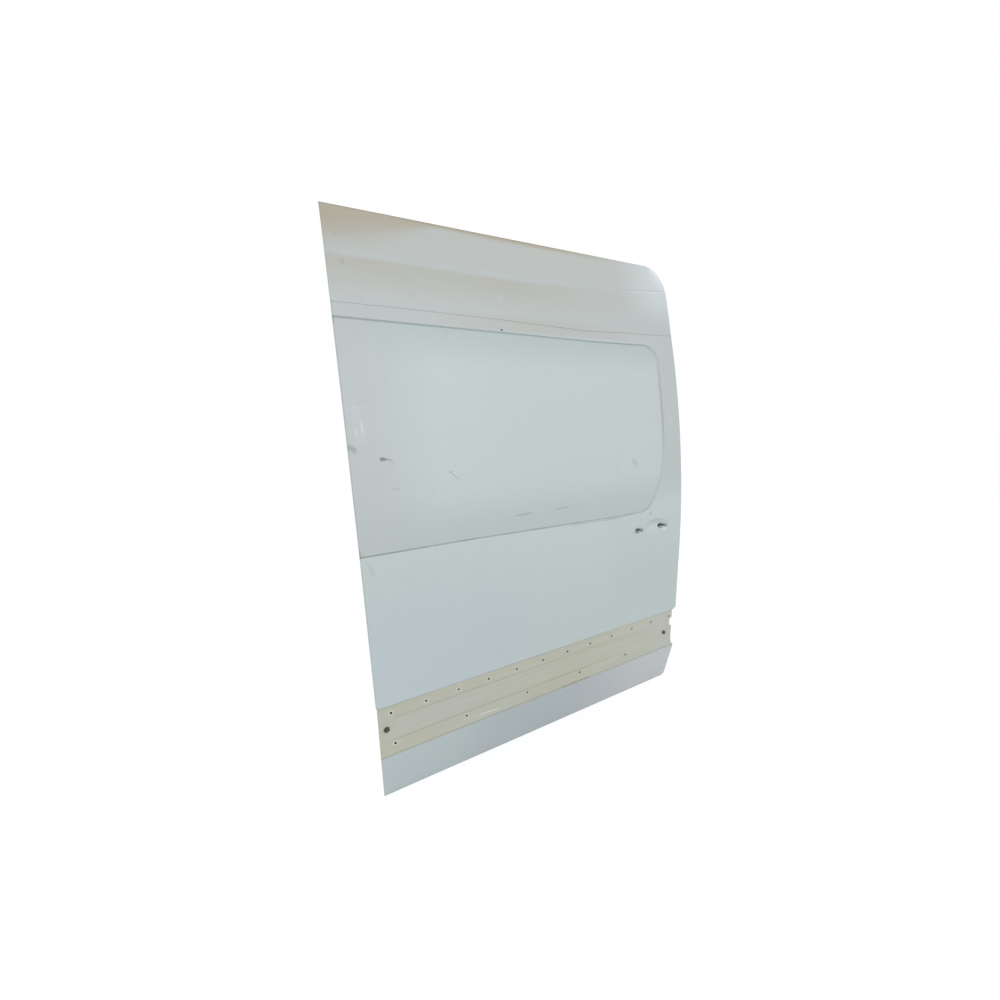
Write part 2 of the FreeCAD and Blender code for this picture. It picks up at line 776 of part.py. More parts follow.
def rubber_buffer(x, z):
    """Tapered rubber block on the inner side of an upright."""
    y = wall_y(frame_depth, z, False)
    w = buffer_half_width
    tip = buffer_tip_half_width
    foot = Part.makePolygon([V(x - w, y, z - w), V(x + w, y, z - w), V(x + w, y, z + w), V(x - w, y, z + w),
                             V(x - w, y, z - w)])
    end = y + buffer_height
    top = Part.makePolygon([V(x - tip, end, z - tip), V(x + tip, end, z - tip), V(x + tip, end, z + tip),
                            V(x - tip, end, z + tip), V(x - tip, end, z - tip)])
    block = Part.makeLoft([foot, top], True, True)
    seat = Part.makeBox(2 * w, w, 2 * w, V(x - w, y - w, z - w))
    taken = slab(x - 2 * w, x + 2 * w, z - 2 * w, z + 2 * w, -5, frame_depth, False, False)
    return block.fuse(seat).cut(taken).removeSplitter()


def six_sided(x, z, radius):
    """Six-sided outline about a middle."""
    corners = []
    for i in range(6):
        angle = math.radians(60 * i + 30)
        corners.append((x + radius * math.cos(angle), z + radius * math.sin(angle), 0))
    return outline_wire(corners)


def trim_clip(x, z):
    """Clip of the lost rub strip, with a six-sided head and stem."""
    face = band_depth
    head = prism(six_sided(x, z, clip_radius), face - clip_height, face)
    stem = prism(six_sided(x, z, clip_stem_radius), face, face + clip_stem_length)
    return head.fuse(stem)


shapes = {}
shapes["main_outer_skin"] = main_outer_skin()
shapes["roof_extension_skin"] = roof_extension_skin()
shapes["rear_upright"] = rear_upright()
shapes["front_upright"] = front_upright()
shapes["bottom_rail"] = bottom_rail()
shapes["belt_beam"] = belt_beam()
shapes["cantrail_beam"] = cantrail_beam()
rear_extension, front_extension = extension_uprights()
shapes["extension_rear_upright"] = rear_extension
shapes["extension_front_upright"] = front_extension
shapes["roof_header"] = roof_header()

window_back = window_recess + skin_thickness + glue_gap
brace_low = belt_foot + belt_height
shapes["window_brace_rear"] = upright_brace(1, 2, brace_low, cantrail_foot, window_back, brace_depth)
shapes["window_brace_front"] = upright_brace(2, 2, brace_low, cantrail_foot, window_back, brace_depth)
extension_back = skin_thickness + glue_gap
extension_low = seam_height + lap_height + 1
extension_high = door_height - frame_inset - header_height
shapes["extension_brace"] = upright_brace(1, 1, extension_low, extension_high,
                                          extension_back, extension_brace_depth)

shapes["impact_beam"] = impact_beam()
shapes["rear_beam_bracket"] = beam_bracket(rear_upright_end)
shapes["front_beam_bracket"] = beam_bracket(front_upright_start - bracket_thickness)
shapes["lower_inner_panel"] = lower_inner_panel()
shapes["lower_arm_plate"] = lower_arm_plate()
shapes["centre_hinge_plate"] = centre_hinge_plate()
shapes["upper_arm_bracket"] = upper_arm_bracket()
rear_plate_start = frame_inset + frame_thickness
front_plate_start = front_wall - frame_thickness - latch_plate_thickness
shapes["rear_latch_plate"] = latch_plate(frame_inset, rear_plate_start)
shapes["front_latch_plate"] = latch_plate(front_wall, front_plate_start)
shapes["rear_guide_wedge"] = guide_wedge(frame_inset, -1)
shapes["front_guide_wedge"] = guide_wedge(front_wall, 1)
rear_buffer_x = frame_inset + buffer_from_wall
front_buffer_x = front_wall - buffer_from_wall
buffers = []
for x in (rear_buffer_x, front_buffer_x):
    for z in (buffer_low, buffer_high):
        buffers.append(rubber_buffer(x, z))
shapes["rubber_buffers"] = Part.makeCompound(buffers)
clip_names = ["rear_trim_clip", "front_trim_clip"]
for name, place in zip(clip_names, clip_places()):
    shapes[name] = trim_clip(*place)

# The origin is the middle of the lower arm plate's inner face
origin = V(lower_pad_x, frame_depth + plate_thickness, lower_pad_z)
for name, shape in shapes.items():
    moved = shape.translated(origin * -1)
    moved.exportStep("parts/" + name + ".step")
    print(name, len(moved.Solids), moved.isValid(), round(moved.Volume))
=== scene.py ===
"""Looks of a white van sliding door: pressed outer sheets, folded edges, paint, grime and small fixings."""

import logging
import math
from dataclasses import dataclass, field
from enum import Enum

import bpy
import numpy as np
from mathutils import Matrix, Vector


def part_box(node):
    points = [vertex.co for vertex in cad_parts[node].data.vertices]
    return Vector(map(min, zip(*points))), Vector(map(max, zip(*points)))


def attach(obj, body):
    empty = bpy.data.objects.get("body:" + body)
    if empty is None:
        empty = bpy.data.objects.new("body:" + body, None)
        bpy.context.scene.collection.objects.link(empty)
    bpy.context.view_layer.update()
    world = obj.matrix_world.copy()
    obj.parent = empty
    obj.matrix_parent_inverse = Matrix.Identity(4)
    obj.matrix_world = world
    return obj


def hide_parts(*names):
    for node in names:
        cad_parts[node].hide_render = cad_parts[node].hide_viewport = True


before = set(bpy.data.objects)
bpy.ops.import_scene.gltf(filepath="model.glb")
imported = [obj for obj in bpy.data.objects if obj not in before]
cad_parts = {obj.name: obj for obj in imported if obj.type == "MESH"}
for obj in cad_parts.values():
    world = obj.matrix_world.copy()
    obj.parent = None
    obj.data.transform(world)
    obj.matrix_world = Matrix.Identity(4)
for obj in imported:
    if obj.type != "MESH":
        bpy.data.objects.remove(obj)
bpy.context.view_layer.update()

log = logging.getLogger("sliding_door")

Array = np.ndarray
Piece = bpy.types.Object
Finish = bpy.types.Material
Socket = bpy.types.NodeSocket
Tree = bpy.types.NodeTree
Place = tuple[float, float]
Triple = tuple[float, float, float]
Line = tuple[tuple[float, ...], ...]
Inputs = dict[int | str, object] | None

# The rear bottom corner of the outer face: door places are measured from it, in metres,
# with x to the front edge, y inward and z up
CORNER = np.array(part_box("main_outer_skin")[0])

# Holes of the rub strip's two rows, and the clips left in the band, x and z
UPPER_HOLES = [(0.044 + 0.1137 * i, 0.340) for i in range(12)]
LOWER_HOLES = [(0.049 + 0.2463 * i, 0.226) for i in range(5)]
CLIP_PLACES = [(0.026, 0.287), (1.266, 0.266)]

# Spacing of the fine line on which grid places are worked out
FINE = 0.0002


class Slot(Enum):
    """Material slots of the part's record."""

    PAINT = "white_paint"
    INNER = "inner_paint"
    STEEL = "plated_steel"
    PLASTIC = "black_plastic"
    RUBBER = "rubber"


def linear(colour: Triple) -> tuple[float, float, float, float]:
    """Linear shader colour with full alpha from a screen colour, 0 to 255.

    Args:
        colour: Red, green and blue, 0 to 255.

    Returns:
        The linear colour.
    """
    share = np.array(colour) / 255
    value = np.where(share <= 0.04045, share / 12.92, ((share + 0.055) / 1.055) ** 2.4)
    return (*value.tolist(), 1.0)


def ease(share: Array) -> Array:
    """Smooth step: 3 t squared less 2 t cubed, with t held between 0 and 1."""
    t = np.clip(share, 0, 1)
    return t * t * (3 - 2 * t)


def hump(distance: Array, reach: float) -> Array:
    """One at no distance, falling smoothly to zero at the reach."""
    return ease(1 - np.abs(distance) / reach)


def circle(count: int) -> Array:
    """Even angles round a full turn."""
    return np.linspace(0, 2 * math.pi, count, endpoint=False)


def to_flat(turn: Array) -> Array:
    """Angle from the middle of the nearest side of a hexagon."""
    return np.abs((turn + math.pi / 6) % (math.pi / 3) - math.pi / 6)


def points_of(x: Array, y: Array, z: Array) -> Array:
    """Points with these three places, one row each."""
    return np.stack(np.broadcast_arrays(x, y, z), axis=-1).reshape(-1, 3)


def run_of(path: Array) -> Array:
    """Length along a path up to each of its points."""
    return np.concatenate([[0], np.cumsum(np.linalg.norm(np.diff(path, axis=0), axis=1))])


def graded(low: float, high: float, base: float, spots: list[Triple], growth: float = 0.6) -> Array:
    """Grid places along one direction, close together at the spots and wider between them.

    The wanted step at a place is the least of the base step and each spot's step plus growth times the
    distance past the spot. The places are where the running sum of 1 / step passes whole numbers.

    Args:
        low: First place.
        high: Last place.
        base: Widest step.
        spots: Places that need a finer step: the middle, half the length and the step of each.
        growth: How fast the step grows away from a spot.

    Returns:
        The places, rising from low to high.
    """
    line = np.linspace(low, high, int((high - low) / FINE) + 2)
    step = np.full_like(line, base)
    for middle, half, finer in spots:
        step = np.minimum(step, finer + growth * np.maximum(np.abs(line - middle) - half, 0))
    total = np.concatenate([[0], np.cumsum(np.diff(line) * 0.5 * (1 / step[1:] + 1 / step[:-1]))])
    count = int(math.ceil(total[-1])) + 1
    return np.interp(np.linspace(0, total[-1], count), total, line)


def offsets(path: Array) -> Array:
    """Vectors that move a path's points to its left by one, mitred at its corners.

    A point's vector is (n + m) / (1 + n . m), with n and m the left normals of the runs beside it.

    Args:
        path: Points, x and z, one row each.

    Returns:
        One vector a point.
    """
    way = np.diff(path, axis=0)
    way /= np.linalg.norm(way, axis=1, keepdims=True)
    left = np.stack([-way[:, 1], way[:, 0]], axis=1)
    before = np.concatenate([left[:1], left])
    after = np.concatenate([left, left[-1:]])
    return (before + after) / (1 + np.sum(before * after, axis=1, keepdims=True))


def beside(path: Array, inset: Array) -> tuple[Array, Array]:
    """Places and heights to the left of a path by each inset, one row for each of its points."""
    normal = offsets(path)
    return path[:, :1] + normal[:, :1] * inset, path[:, 1:] + normal[:, 1:] * inset


@dataclass(frozen=True)
class DoorForm:
    """The pressed outer face of the door as formulas; lengths in metres."""

    width: float = 1.330
    height: float = 1.860
    rise: float = 0.012
    top_corner: float = 0.090
    low_corner: float = 0.020
    arc_foot: float = 0.673
    arc_radius: float = 4.030
    sill_height: float = 0.186
    sill_set_in: float = 0.003
    sill_tuck: float = 0.045
    band_top: float = 0.371
    band_depth: float = 0.005
    band_step: float = 0.004
    rear_step: float = 0.003
    front_step: float = 0.016
    flare: float = 0.036
    # Where the flare's end begins under the band's upper edge, and its length
    flare_end: Place = (0.001, 0.012)
    notch_depth: float = 0.013
    notch_low: float = 0.289
    notch_high: float = 0.324
    notch_step: float = 0.006
    field_low: float = 0.241
    field_high: float = 0.320
    field_margin: float = 0.048
    field_corner: float = 0.014
    field_depth: float = 0.0015
    field_step: float = 0.006
    window_front: float = 1.2315
    window_depth: float = 0.005
    window_step: float = 0.007
    window_corner: float = 0.072
    # Half axes of the superellipse at the window's lower front corner, and its power
    window_sweep: Place = (0.152, 0.376)
    window_square: float = 2.3
    bowl: Place = (1.181, 0.778)
    bowl_half: Place = (0.077, 0.044)
    bowl_depth: float = 0.024
    bowl_rim: float = 0.06
    keyhole_x: Place = (1.077, 1.221)
    keyhole_z: float = 0.782
    keyhole_radius: float = 0.0118
    slot_length: float = 0.027
    slot_half: float = 0.0068
    dip_radius: float = 0.030
    dip_depth: float = 0.006
    dimple: Place = (1.148, 0.847)
    dimple_radius: float = 0.013
    dimple_depth: float = 0.004
    crease_level: float = 1.7146
    crease_start: float = 0.45
    crease_rise: float = 0.049
    crease_power: float = 1.8
    crease_height: float = 0.007
    # Share of the ridge that is rounded off at the crease, and how far to either side of it
    crease_round: Place = (0.12, 0.022)
    crease_fall: float = 0.03
    wave_height: float = 0.0004
    # Radians a metre along x and z, and phase, of the slow waves; share of their second pair
    waves: Line = ((5.1, 3.7, 0.4), (2.3, -4.9, 1.1), (11.0, -2.1, 0), (0, 7.7, 0.8))
    wave_share: float = 0.6
    # Places along the door and heights there: the lap joint, and the window's lower and upper edges
    seam_line: Line = (
        (0, 0.25, 0.54, 0.77, 0.87, 0.90, 1.08, 1.19, 1.33),
        (1.580, 1.580, 1.576, 1.570, 1.5665, 1.568, 1.575, 1.577, 1.581))
    foot_line: Line = ((0, 0.32, 0.71, 0.95, 1.08), (0.868, 0.868, 0.863, 0.859, 0.860))
    head_line: Line = ((0, 0.62, 0.91, 1.16), (1.540, 1.534, 1.531, 1.533))
    # Middle x and z, stretch along the door, depth and reach of each dent
    dents: Line = (
        (0.672, 1.717, 1.6, 0.0030, 0.022), (0.028, 0.827, 1, 0.0016, 0.035),
        (0.040, 1.235, 1, 0.0012, 0.050))
    # Middle x and z of the pleat at the joint, the cosine and sine of its slant, and its height;
    # half its width, and the middle and half of its length
    pleat: tuple[float, ...] = (0.850, 1.562, 0.93, 0.37, 0.0012)
    pleat_reach: Triple = (0.006, 0.03, 0.035)

    def wall(self, z: Array) -> Array:
        """Distance inward of the section: a sill tucked in, an upright wall, then one large arc leaning in.

        Args:
            z: Heights.

        Returns:
            The distances.
        """
        over = np.maximum(z - self.arc_foot, 0)
        arc = self.arc_radius - np.sqrt(self.arc_radius ** 2 - over ** 2)
        sill = self.sill_set_in + (self.sill_tuck - self.sill_set_in) * (1 - z / self.sill_height)
        above = self.sill_set_in * ease(1 - (z - self.sill_height) / self.band_step)
        return arc + np.where(z < self.sill_height, sill, above)

    def top(self, x: Array, inset: float = 0.0) -> Array:
        """Height of the top edge moved in by an inset: rising to the front, then round the corner.

        Args:
            x: Places along the door.
            inset: How far the edge is moved in.

        Returns:
            The heights.
        """
        edge = self.height + self.rise * x / self.width
        radius = self.top_corner - inset
        over = np.clip(x - (self.width - self.top_corner), 0, radius)
        return edge - self.top_corner + np.sqrt(np.maximum(radius ** 2 - over ** 2, 0))

    def seam(self, x: Array) -> Array:
        """Height of the lap joint, which sags a little before the front third."""
        return np.interp(x, *self.seam_line)

    def crease(self, x: Array) -> Array:
        """Height of the soft ridge across the roof extension: level, then rising as a power to the front."""
        share = np.maximum(x - self.crease_start, 0) / (self.width - self.crease_start)
        return self.crease_level + self.crease_rise * share ** self.crease_power

    def window_gap(self, x: Array, z: Array) -> Array:
        """Distance outside the outline of the blank window, below zero inside it.

        The outline is three straight edges, a round upper front corner, and a lower front corner that is
        a quarter of a superellipse, a little squarer than an ellipse. Near it the distance is
        (q - 1) / |gradient of q|, where q is the superellipse's radius share.

        Args:
            x: Places along the door.
            z: Heights.

        Returns:
            The distances.
        """
        foot, head = np.interp(x, *self.foot_line), np.interp(x, *self.head_line)
        gap = np.maximum.reduce([foot - z, z - head, x - self.window_front])
        across, up = self.window_sweep
        dx, dz = x - (self.window_front - across), z - (foot + up)
        n = self.window_square
        share_x, share_z = np.abs(dx) / across, np.abs(dz) / up
        q = (share_x ** n + share_z ** n) ** (1 / n) + 1e-9
        slope = np.hypot(share_x ** (n - 1) / across, share_z ** (n - 1) / up) * q ** (1 - n) + 1e-9
        gap = np.where((dx > 0) & (dz < 0), (q - 1) / slope, gap)
        r = self.window_corner
        cx, cz = x - (self.window_front - r), z - (head - r)
        return np.where((cx > 0) & (cz > 0), np.hypot(cx, cz) - r, gap)

    def field_gap(self, x: Array, z: Array) -> Array:
        """Distance outside the shallow field in the band, a rounded rectangle.

        Args:
            x: Places along the door.
            z: Heights.

        Returns:
            The distances, below zero inside.
        """
        r = self.field_corner
        middle, half = (self.field_low + self.field_high) / 2, (self.field_high - self.field_low) / 2
        cx = np.abs(x - self.width / 2) - (self.width / 2 - self.field_margin - r)
        cz = np.abs(z - middle) - (half - r)
        outside = np.hypot(np.maximum(cx, 0), np.maximum(cz, 0))
        return outside + np.minimum(np.maximum(cx, cz), 0) - r

    def rear_edge(self, z: Array) -> Array:
        """Place of the rear edge: set in more and more up the band."""
        inside = np.clip((z - self.sill_height) / (self.band_top - self.sill_height), 0, 1)
        return self.rear_step * (inside - ease((z - self.band_top) / self.band_step))

    def front_edge(self, z: Array) -> Array:
        """Place of the front edge: round at the foot, flared in to the band, with a small notch in that.

        Args:
            z: Heights.

        Returns:
            The places.
        """
        r = self.low_corner
        under = np.clip(r - z, 0, r)
        foot = r - np.sqrt(np.maximum(r * r - under * under, 0))
        start, length = self.flare_end
        inside = ease(0.5 + (z - self.sill_height) / self.flare / 2) * 2 - 1
        inside = np.maximum(inside, 0) - ease((z - self.band_top + start) / length)
        notch = ease((z - self.notch_low) / self.notch_step) - ease((z - self.notch_high) / self.notch_step)
        return self.width - foot - self.front_step * inside - self.notch_depth * notch

    def handle(self, x: Array, z: Array) -> Array:
        """Depth of the handle bowl, the dip at the rear keyhole and the dimple over them.

        The bowl is a paraboloid on an ellipse with its rim rounded over: depth times h squared over
        (h + rim), where h is one less the squared radius share.

        Args:
            x: Places along the door.
            z: Heights.

        Returns:
            How far the sheet is pressed in.
        """
        share_x, share_z = (x - self.bowl[0]) / self.bowl_half[0], (z - self.bowl[1]) / self.bowl_half[1]
        h = np.maximum(1 - (share_x ** 2 + share_z ** 2), 0)
        bowl = self.bowl_depth * h ** 2 / (h + self.bowl_rim)
        dip = self.dip_depth * hump(np.hypot(x - self.keyhole_x[0], z - self.keyhole_z), self.dip_radius)
        from_dimple = np.hypot(x - self.dimple[0], z - self.dimple[1])
        dimple = self.dimple_depth * hump(from_dimple, self.dimple_radius)
        return np.maximum(np.maximum(bowl, dip), dimple)

    def band(self, z: Array) -> Array:
        """One in the band, zero past it, with a smooth step at each edge."""
        step = self.band_step
        return ease((z - self.sill_height) / step) - ease((z - self.band_top + step) / step)

    def hand_work(self, x: Array, z: Array) -> Array:
        """Unevenness of a used sheet: slow waves of a few tenths of a millimetre, three dents and a pleat.

        The waves are two products of sines, a long pair and a weaker short pair.

        Args:
            x: Places along the door.
            z: Heights.

        Returns:
            How far the sheet is pressed in.
        """
        one, two, three, four = (np.sin(a * x + b * z + phase) for a, b, phase in self.waves)
        wave = one * two + self.wave_share * three * four
        dents = sum(depth * hump(np.hypot((x - cx) / stretch, z - cz), reach)
                    for cx, cz, stretch, depth, reach in self.dents)
        px, pz, cosine, sine, height = self.pleat
        along = (x - px) * cosine - (z - pz) * sine
        aside = (x - px) * sine + (z - pz) * cosine
        half, middle, length = self.pleat_reach
        pleat = height * hump(aside, half) * hump(along - middle, length)
        return self.wave_height * wave + dents - pleat

    def face(self, x: Array, z: Array) -> Array:
        """Distance inward of the whole pressed face below the lap joint.

        Args:
            x: Places along the door.
            z: Heights.

        Returns:
            The distances.
        """
        window = self.window_depth * ease(0.5 - self.window_gap(x, z) / self.window_step)
        shallow = self.field_depth * ease(0.5 - self.field_gap(x, z) / self.field_step)
        pressed = window + self.band_depth * self.band(z) + shallow + self.handle(x, z)
        return self.wall(z) + pressed + self.hand_work(x, z)

    def roof_face(self, x: Array, z: Array) -> Array:
        """Distance inward of the roof extension.

        A ridge follows the crease line: it swells out evenly from the lap joint, is rounded over at the
        crease, and falls away faster to the top edge.

        Args:
            x: Places along the door.
            z: Heights.

        Returns:
            The distances.
        """
        line = self.crease(x)
        below = np.clip((z - self.seam(x)) / (line - self.seam(x)), 0, 1)
        above = np.clip((z - line) / (self.top(x) - line + self.crease_fall), 0, 1)
        ridge = np.where(z < line, below, 1 - above)
        share, reach = self.crease_round
        ridge = ridge - share * hump(z - line, reach)
        return self.wall(z) - self.crease_height * ridge + self.hand_work(x, z)


def add_mesh(name: str, points: Array, faces: Array) -> Piece:
    """Makes one smooth mesh piece at the origin, riding on the door.

    Args:
        name: Name of the piece.
        points: Door places, one row a vertex.
        faces: Corner numbers, four a face.

    Returns:
        The new object.
    """
    used, again = np.unique(faces, return_inverse=True)
    mesh = bpy.data.meshes.new(name)
    mesh.from_pydata((points[used] + CORNER).tolist(), [], again.reshape(faces.shape).tolist())
    mesh.polygons.foreach_set("use_smooth", np.ones(len(mesh.polygons), bool))
    mesh.update()
    piece = bpy.data.objects.new(name, mesh)
    bpy.context.scene.collection.objects.link(piece)
    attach(piece, "root")
    return piece


def grid_faces(rows: int, columns: int, closed: bool = False) -> Array:
    """Corner numbers of a grid's cells, row by row; a closed grid joins its last column to its first.

    Args:
        rows: Rows of points.
        columns: Points in a row.
        closed: True for rows that close.

    Returns:
        Four numbers a cell.
    """
    number = np.arange(rows * columns).reshape(rows, columns)
    after = np.roll(number, -1, axis=1) if closed else number[:, 1:]
    number = number if closed else number[:, :-1]
    return np.stack([number[:-1], after[:-1], after[1:], number[1:]], axis=-1).reshape(-1, 4)


def add_forms(name: str, forms: list[Array], cells: Array) -> Piece:
    """Makes one mesh of several forms whose points have the same cells."""
    starts = np.arange(len(forms)) * len(forms[0])
    return add_mesh(name, np.concatenate(forms), (cells + starts[:, None, None]).reshape(-1, 4))


def add_node(tree: Tree, kind: str, inputs: Inputs = None, **settings: object) -> bpy.types.Node:
    """Adds a shader node.

    Args:
        tree: Node tree to add to.
        kind: Kind of node, without the words that every kind begins with.
        inputs: For each named or numbered input, a socket to link to it or its value.
        settings: Properties of the node.

    Returns:
        The node.
    """
    node = tree.nodes.new("ShaderNode" + kind)
    for name, setting in settings.items():
        setattr(node, name, setting)
    for key, value in (inputs or {}).items():
        if isinstance(value, Socket):
            tree.links.new(value, node.inputs[key])
        else:
            node.inputs[key].default_value = value
    return node


def add_sum(tree: Tree, operation: str, first: object, second: object) -> Socket:
    """Result of one sum on two numbers."""
    return add_node(tree, "Math", {0: first, 1: second}, operation=operation).outputs[0]


class Graph:
    """Shader nodes of one material: door places from Object coordinates, and the colour laid so far."""

    # Share of a line's reach that has its full strength
    core: float = 0.25

    def __init__(self, name: str) -> None:
        """Starts an empty material with the door places x and z at hand.

        Args:
            name: Name of the material.
        """
        self.material = bpy.data.materials.new(name)
        self.material.use_nodes = True
        self.tree = self.material.node_tree
        self.tree.nodes.clear()
        coordinates = self.node("TexCoord").outputs
        shift = {0: coordinates["Object"], 1: CORNER.tolist()}
        self.place = self.node("VectorMath", shift, operation="SUBTRACT").outputs[0]
        self.x, _, self.z = self.node("SeparateXYZ", {0: self.place}).outputs
        self.inward = self.node("SeparateXYZ", {0: coordinates["Normal"]}).outputs[1]
        self.colour: object = (0, 0, 0)

    def node(self, kind: str, inputs: Inputs = None, **settings: object) -> bpy.types.Node:
        """Adds a node to the material."""
        return add_node(self.tree, kind, inputs, **settings)

    def math(self, operation: str, first: object, second: object = 0.0) -> Socket:
        """Result of one sum on numbers."""
        return add_sum(self.tree, operation, first, second)

    def scaled(self, value: object, times: float, plus: float) -> Socket:
        """A number times another, plus a third."""
        return self.math("ADD", self.math("MULTIPLY", value, times), plus)

    def product(self, *values: object) -> object:
        """Product of several numbers.

        Args:
            values: Sockets or numbers.

        Returns:
            The product, or the one value given.
        """
        total = values[0]
        for value in values[1:]:
            total = self.math("MULTIPLY", total, value)
        return total

    def rising(self, value: object, low: float, high: float) -> Socket:
        """Smooth rise from 0 at low to 1 at high; it falls where low is the larger.

        Args:
            value: Socket to read.
            low: Where it is 0.
            high: Where it is 1.

        Returns:
            The share.
        """
        ends = (1.0, 0.0) if low > high else (0.0, 1.0)
        inputs = {"Value": value, "From Min": min(low, high), "From Max": max(low, high),
                  "To Min": ends[0], "To Max": ends[1]}
        return self.node("MapRange", inputs, interpolation_type="SMOOTHSTEP").outputs[0]

    def near(self, value: object, middle: float, reach: float) -> Socket:
        """One at the middle value, falling to zero at the reach on either side."""
        away = self.math("ABSOLUTE", self.math("SUBTRACT", value, middle))
        return self.rising(away, reach, reach * self.core)

    def noise(self, scale: float, detail: float = 3.0, stretch: Triple = (1, 1, 1),
              offset: float = 0.0) -> Socket:
        """Cloud-like number from 0 to 1.

        Args:
            scale: Clouds in a metre.
            detail: Octaves.
            stretch: Scale factor along each axis.
            offset: Moves the pattern, so that two of them differ.

        Returns:
            The noise value.
        """
        shift = (offset, offset * 0.7, offset * 1.3)
        mapping = self.node("Mapping", {"Vector": self.place, "Location": shift, "Scale": stretch})
        inputs = {"Vector": mapping.outputs[0], "Scale": scale, "Detail": detail}
        return self.node("TexNoise", inputs).outputs[0]

    def numbers(self, name: str) -> Socket:
        """Numbers kept with the vertices under a name."""
        return self.node("Attribute", attribute_name=name).outputs["Fac"]

    def blend(self, share: object, under: object, over: object) -> Socket:
        """Colour between two, each a socket or a screen colour."""
        under, over = (linear(c) if isinstance(c, tuple) else c for c in (under, over))
        return self.node("Mix", {0: share, 6: under, 7: over}, data_type="RGBA").outputs[2]

    def lay(self, over: object, *shares: object) -> None:
        """Lays a colour over the colour so far, by the product of the shares."""
        self.colour = self.blend(self.product(*shares), self.colour, over)

    def finish(self, roughness: object, height: object, relief: float, metallic: float = 0.0) -> Finish:
        """Closes the material with one shader.

        Args:
            roughness: Roughness.
            height: Height of the relief, 0 to 1.
            relief: How high the relief stands, in metres.
            metallic: Share of metal.

        Returns:
            The finished material.
        """
        bump = self.node("Bump", {"Distance": relief, "Height": height})
        shader = self.node("BsdfPrincipled", {
            "Base Color": self.colour, "Roughness": roughness, "Metallic": metallic,
            "Specular IOR Level": 0.5, "Normal": bump.outputs[0]})
        self.node("OutputMaterial", {0: shader.outputs[0]})
        return self.material


def stroke_group() -> Tree:
    """Node group that gives 1 on a straight stroke in the door's plane, falling to 0 past its half width.

    The distance is that of the place from the nearest point of the segment: p - a - h (b - a), with h the
    clamped share of the way along it.

    Returns:
        The group, made once.
    """
    known = bpy.data.node_groups.get("stroke")
    if known:
        return known
    tree = bpy.data.node_groups.new("stroke", "ShaderNodeTree")
    for name in ("Place", "Start", "Way"):
        tree.interface.new_socket(name, in_out="INPUT", socket_type="NodeSocketVector")
    tree.interface.new_socket("Half", in_out="INPUT", socket_type="NodeSocketFloat")
    tree.interface.new_socket("Mask", in_out="OUTPUT", socket_type="NodeSocketFloat")
    place, start, way, half = tree.nodes.new("NodeGroupInput").outputs[:4]

    def vector(operation: str, first: object, second: object) -> bpy.types.NodeOutputs:
        """Results of one sum on vectors."""
        return add_node(tree, "VectorMath", {0: first, 1: second}, operation=operation).outputs

    away = vector("SUBTRACT", vector("MULTIPLY", place, (1, 0, 1))[0], start)[0]
    along, length = (vector("DOT_PRODUCT", first, way)["Value"] for first in (away, way))
    share = add_node(tree, "Math", {0: along, 1: length}, operation="DIVIDE", use_clamp=True).outputs[0]
    reached = add_node(tree, "VectorMath", {0: way, "Scale": share}, operation="SCALE").outputs[0]
    rest = vector("SUBTRACT", away, reached)[0]
    distance = add_node(tree, "VectorMath", {0: rest}, operation="LENGTH").outputs["Value"]
    inputs = {"Value": distance, "From Min": 0, "From Max": half, "To Min": 1, "To Max": 0}
    mask = add_node(tree, "MapRange", inputs, interpolation_type="SMOOTHSTEP")
    tree.links.new(mask.outputs[0], tree.nodes.new("NodeGroupOutput").inputs[0])
    return tree


@dataclass(frozen=True)
class Mark:
    """A scratch, chip, scuff or smear on the paint, or a painted highlight or painted shade, from one place
    to another.
    """

    start: Place
    end: Place
    half: float
    colour: Triple = (0, 0, 0)
    strength: float = 1.0
    ragged: float = 0.0


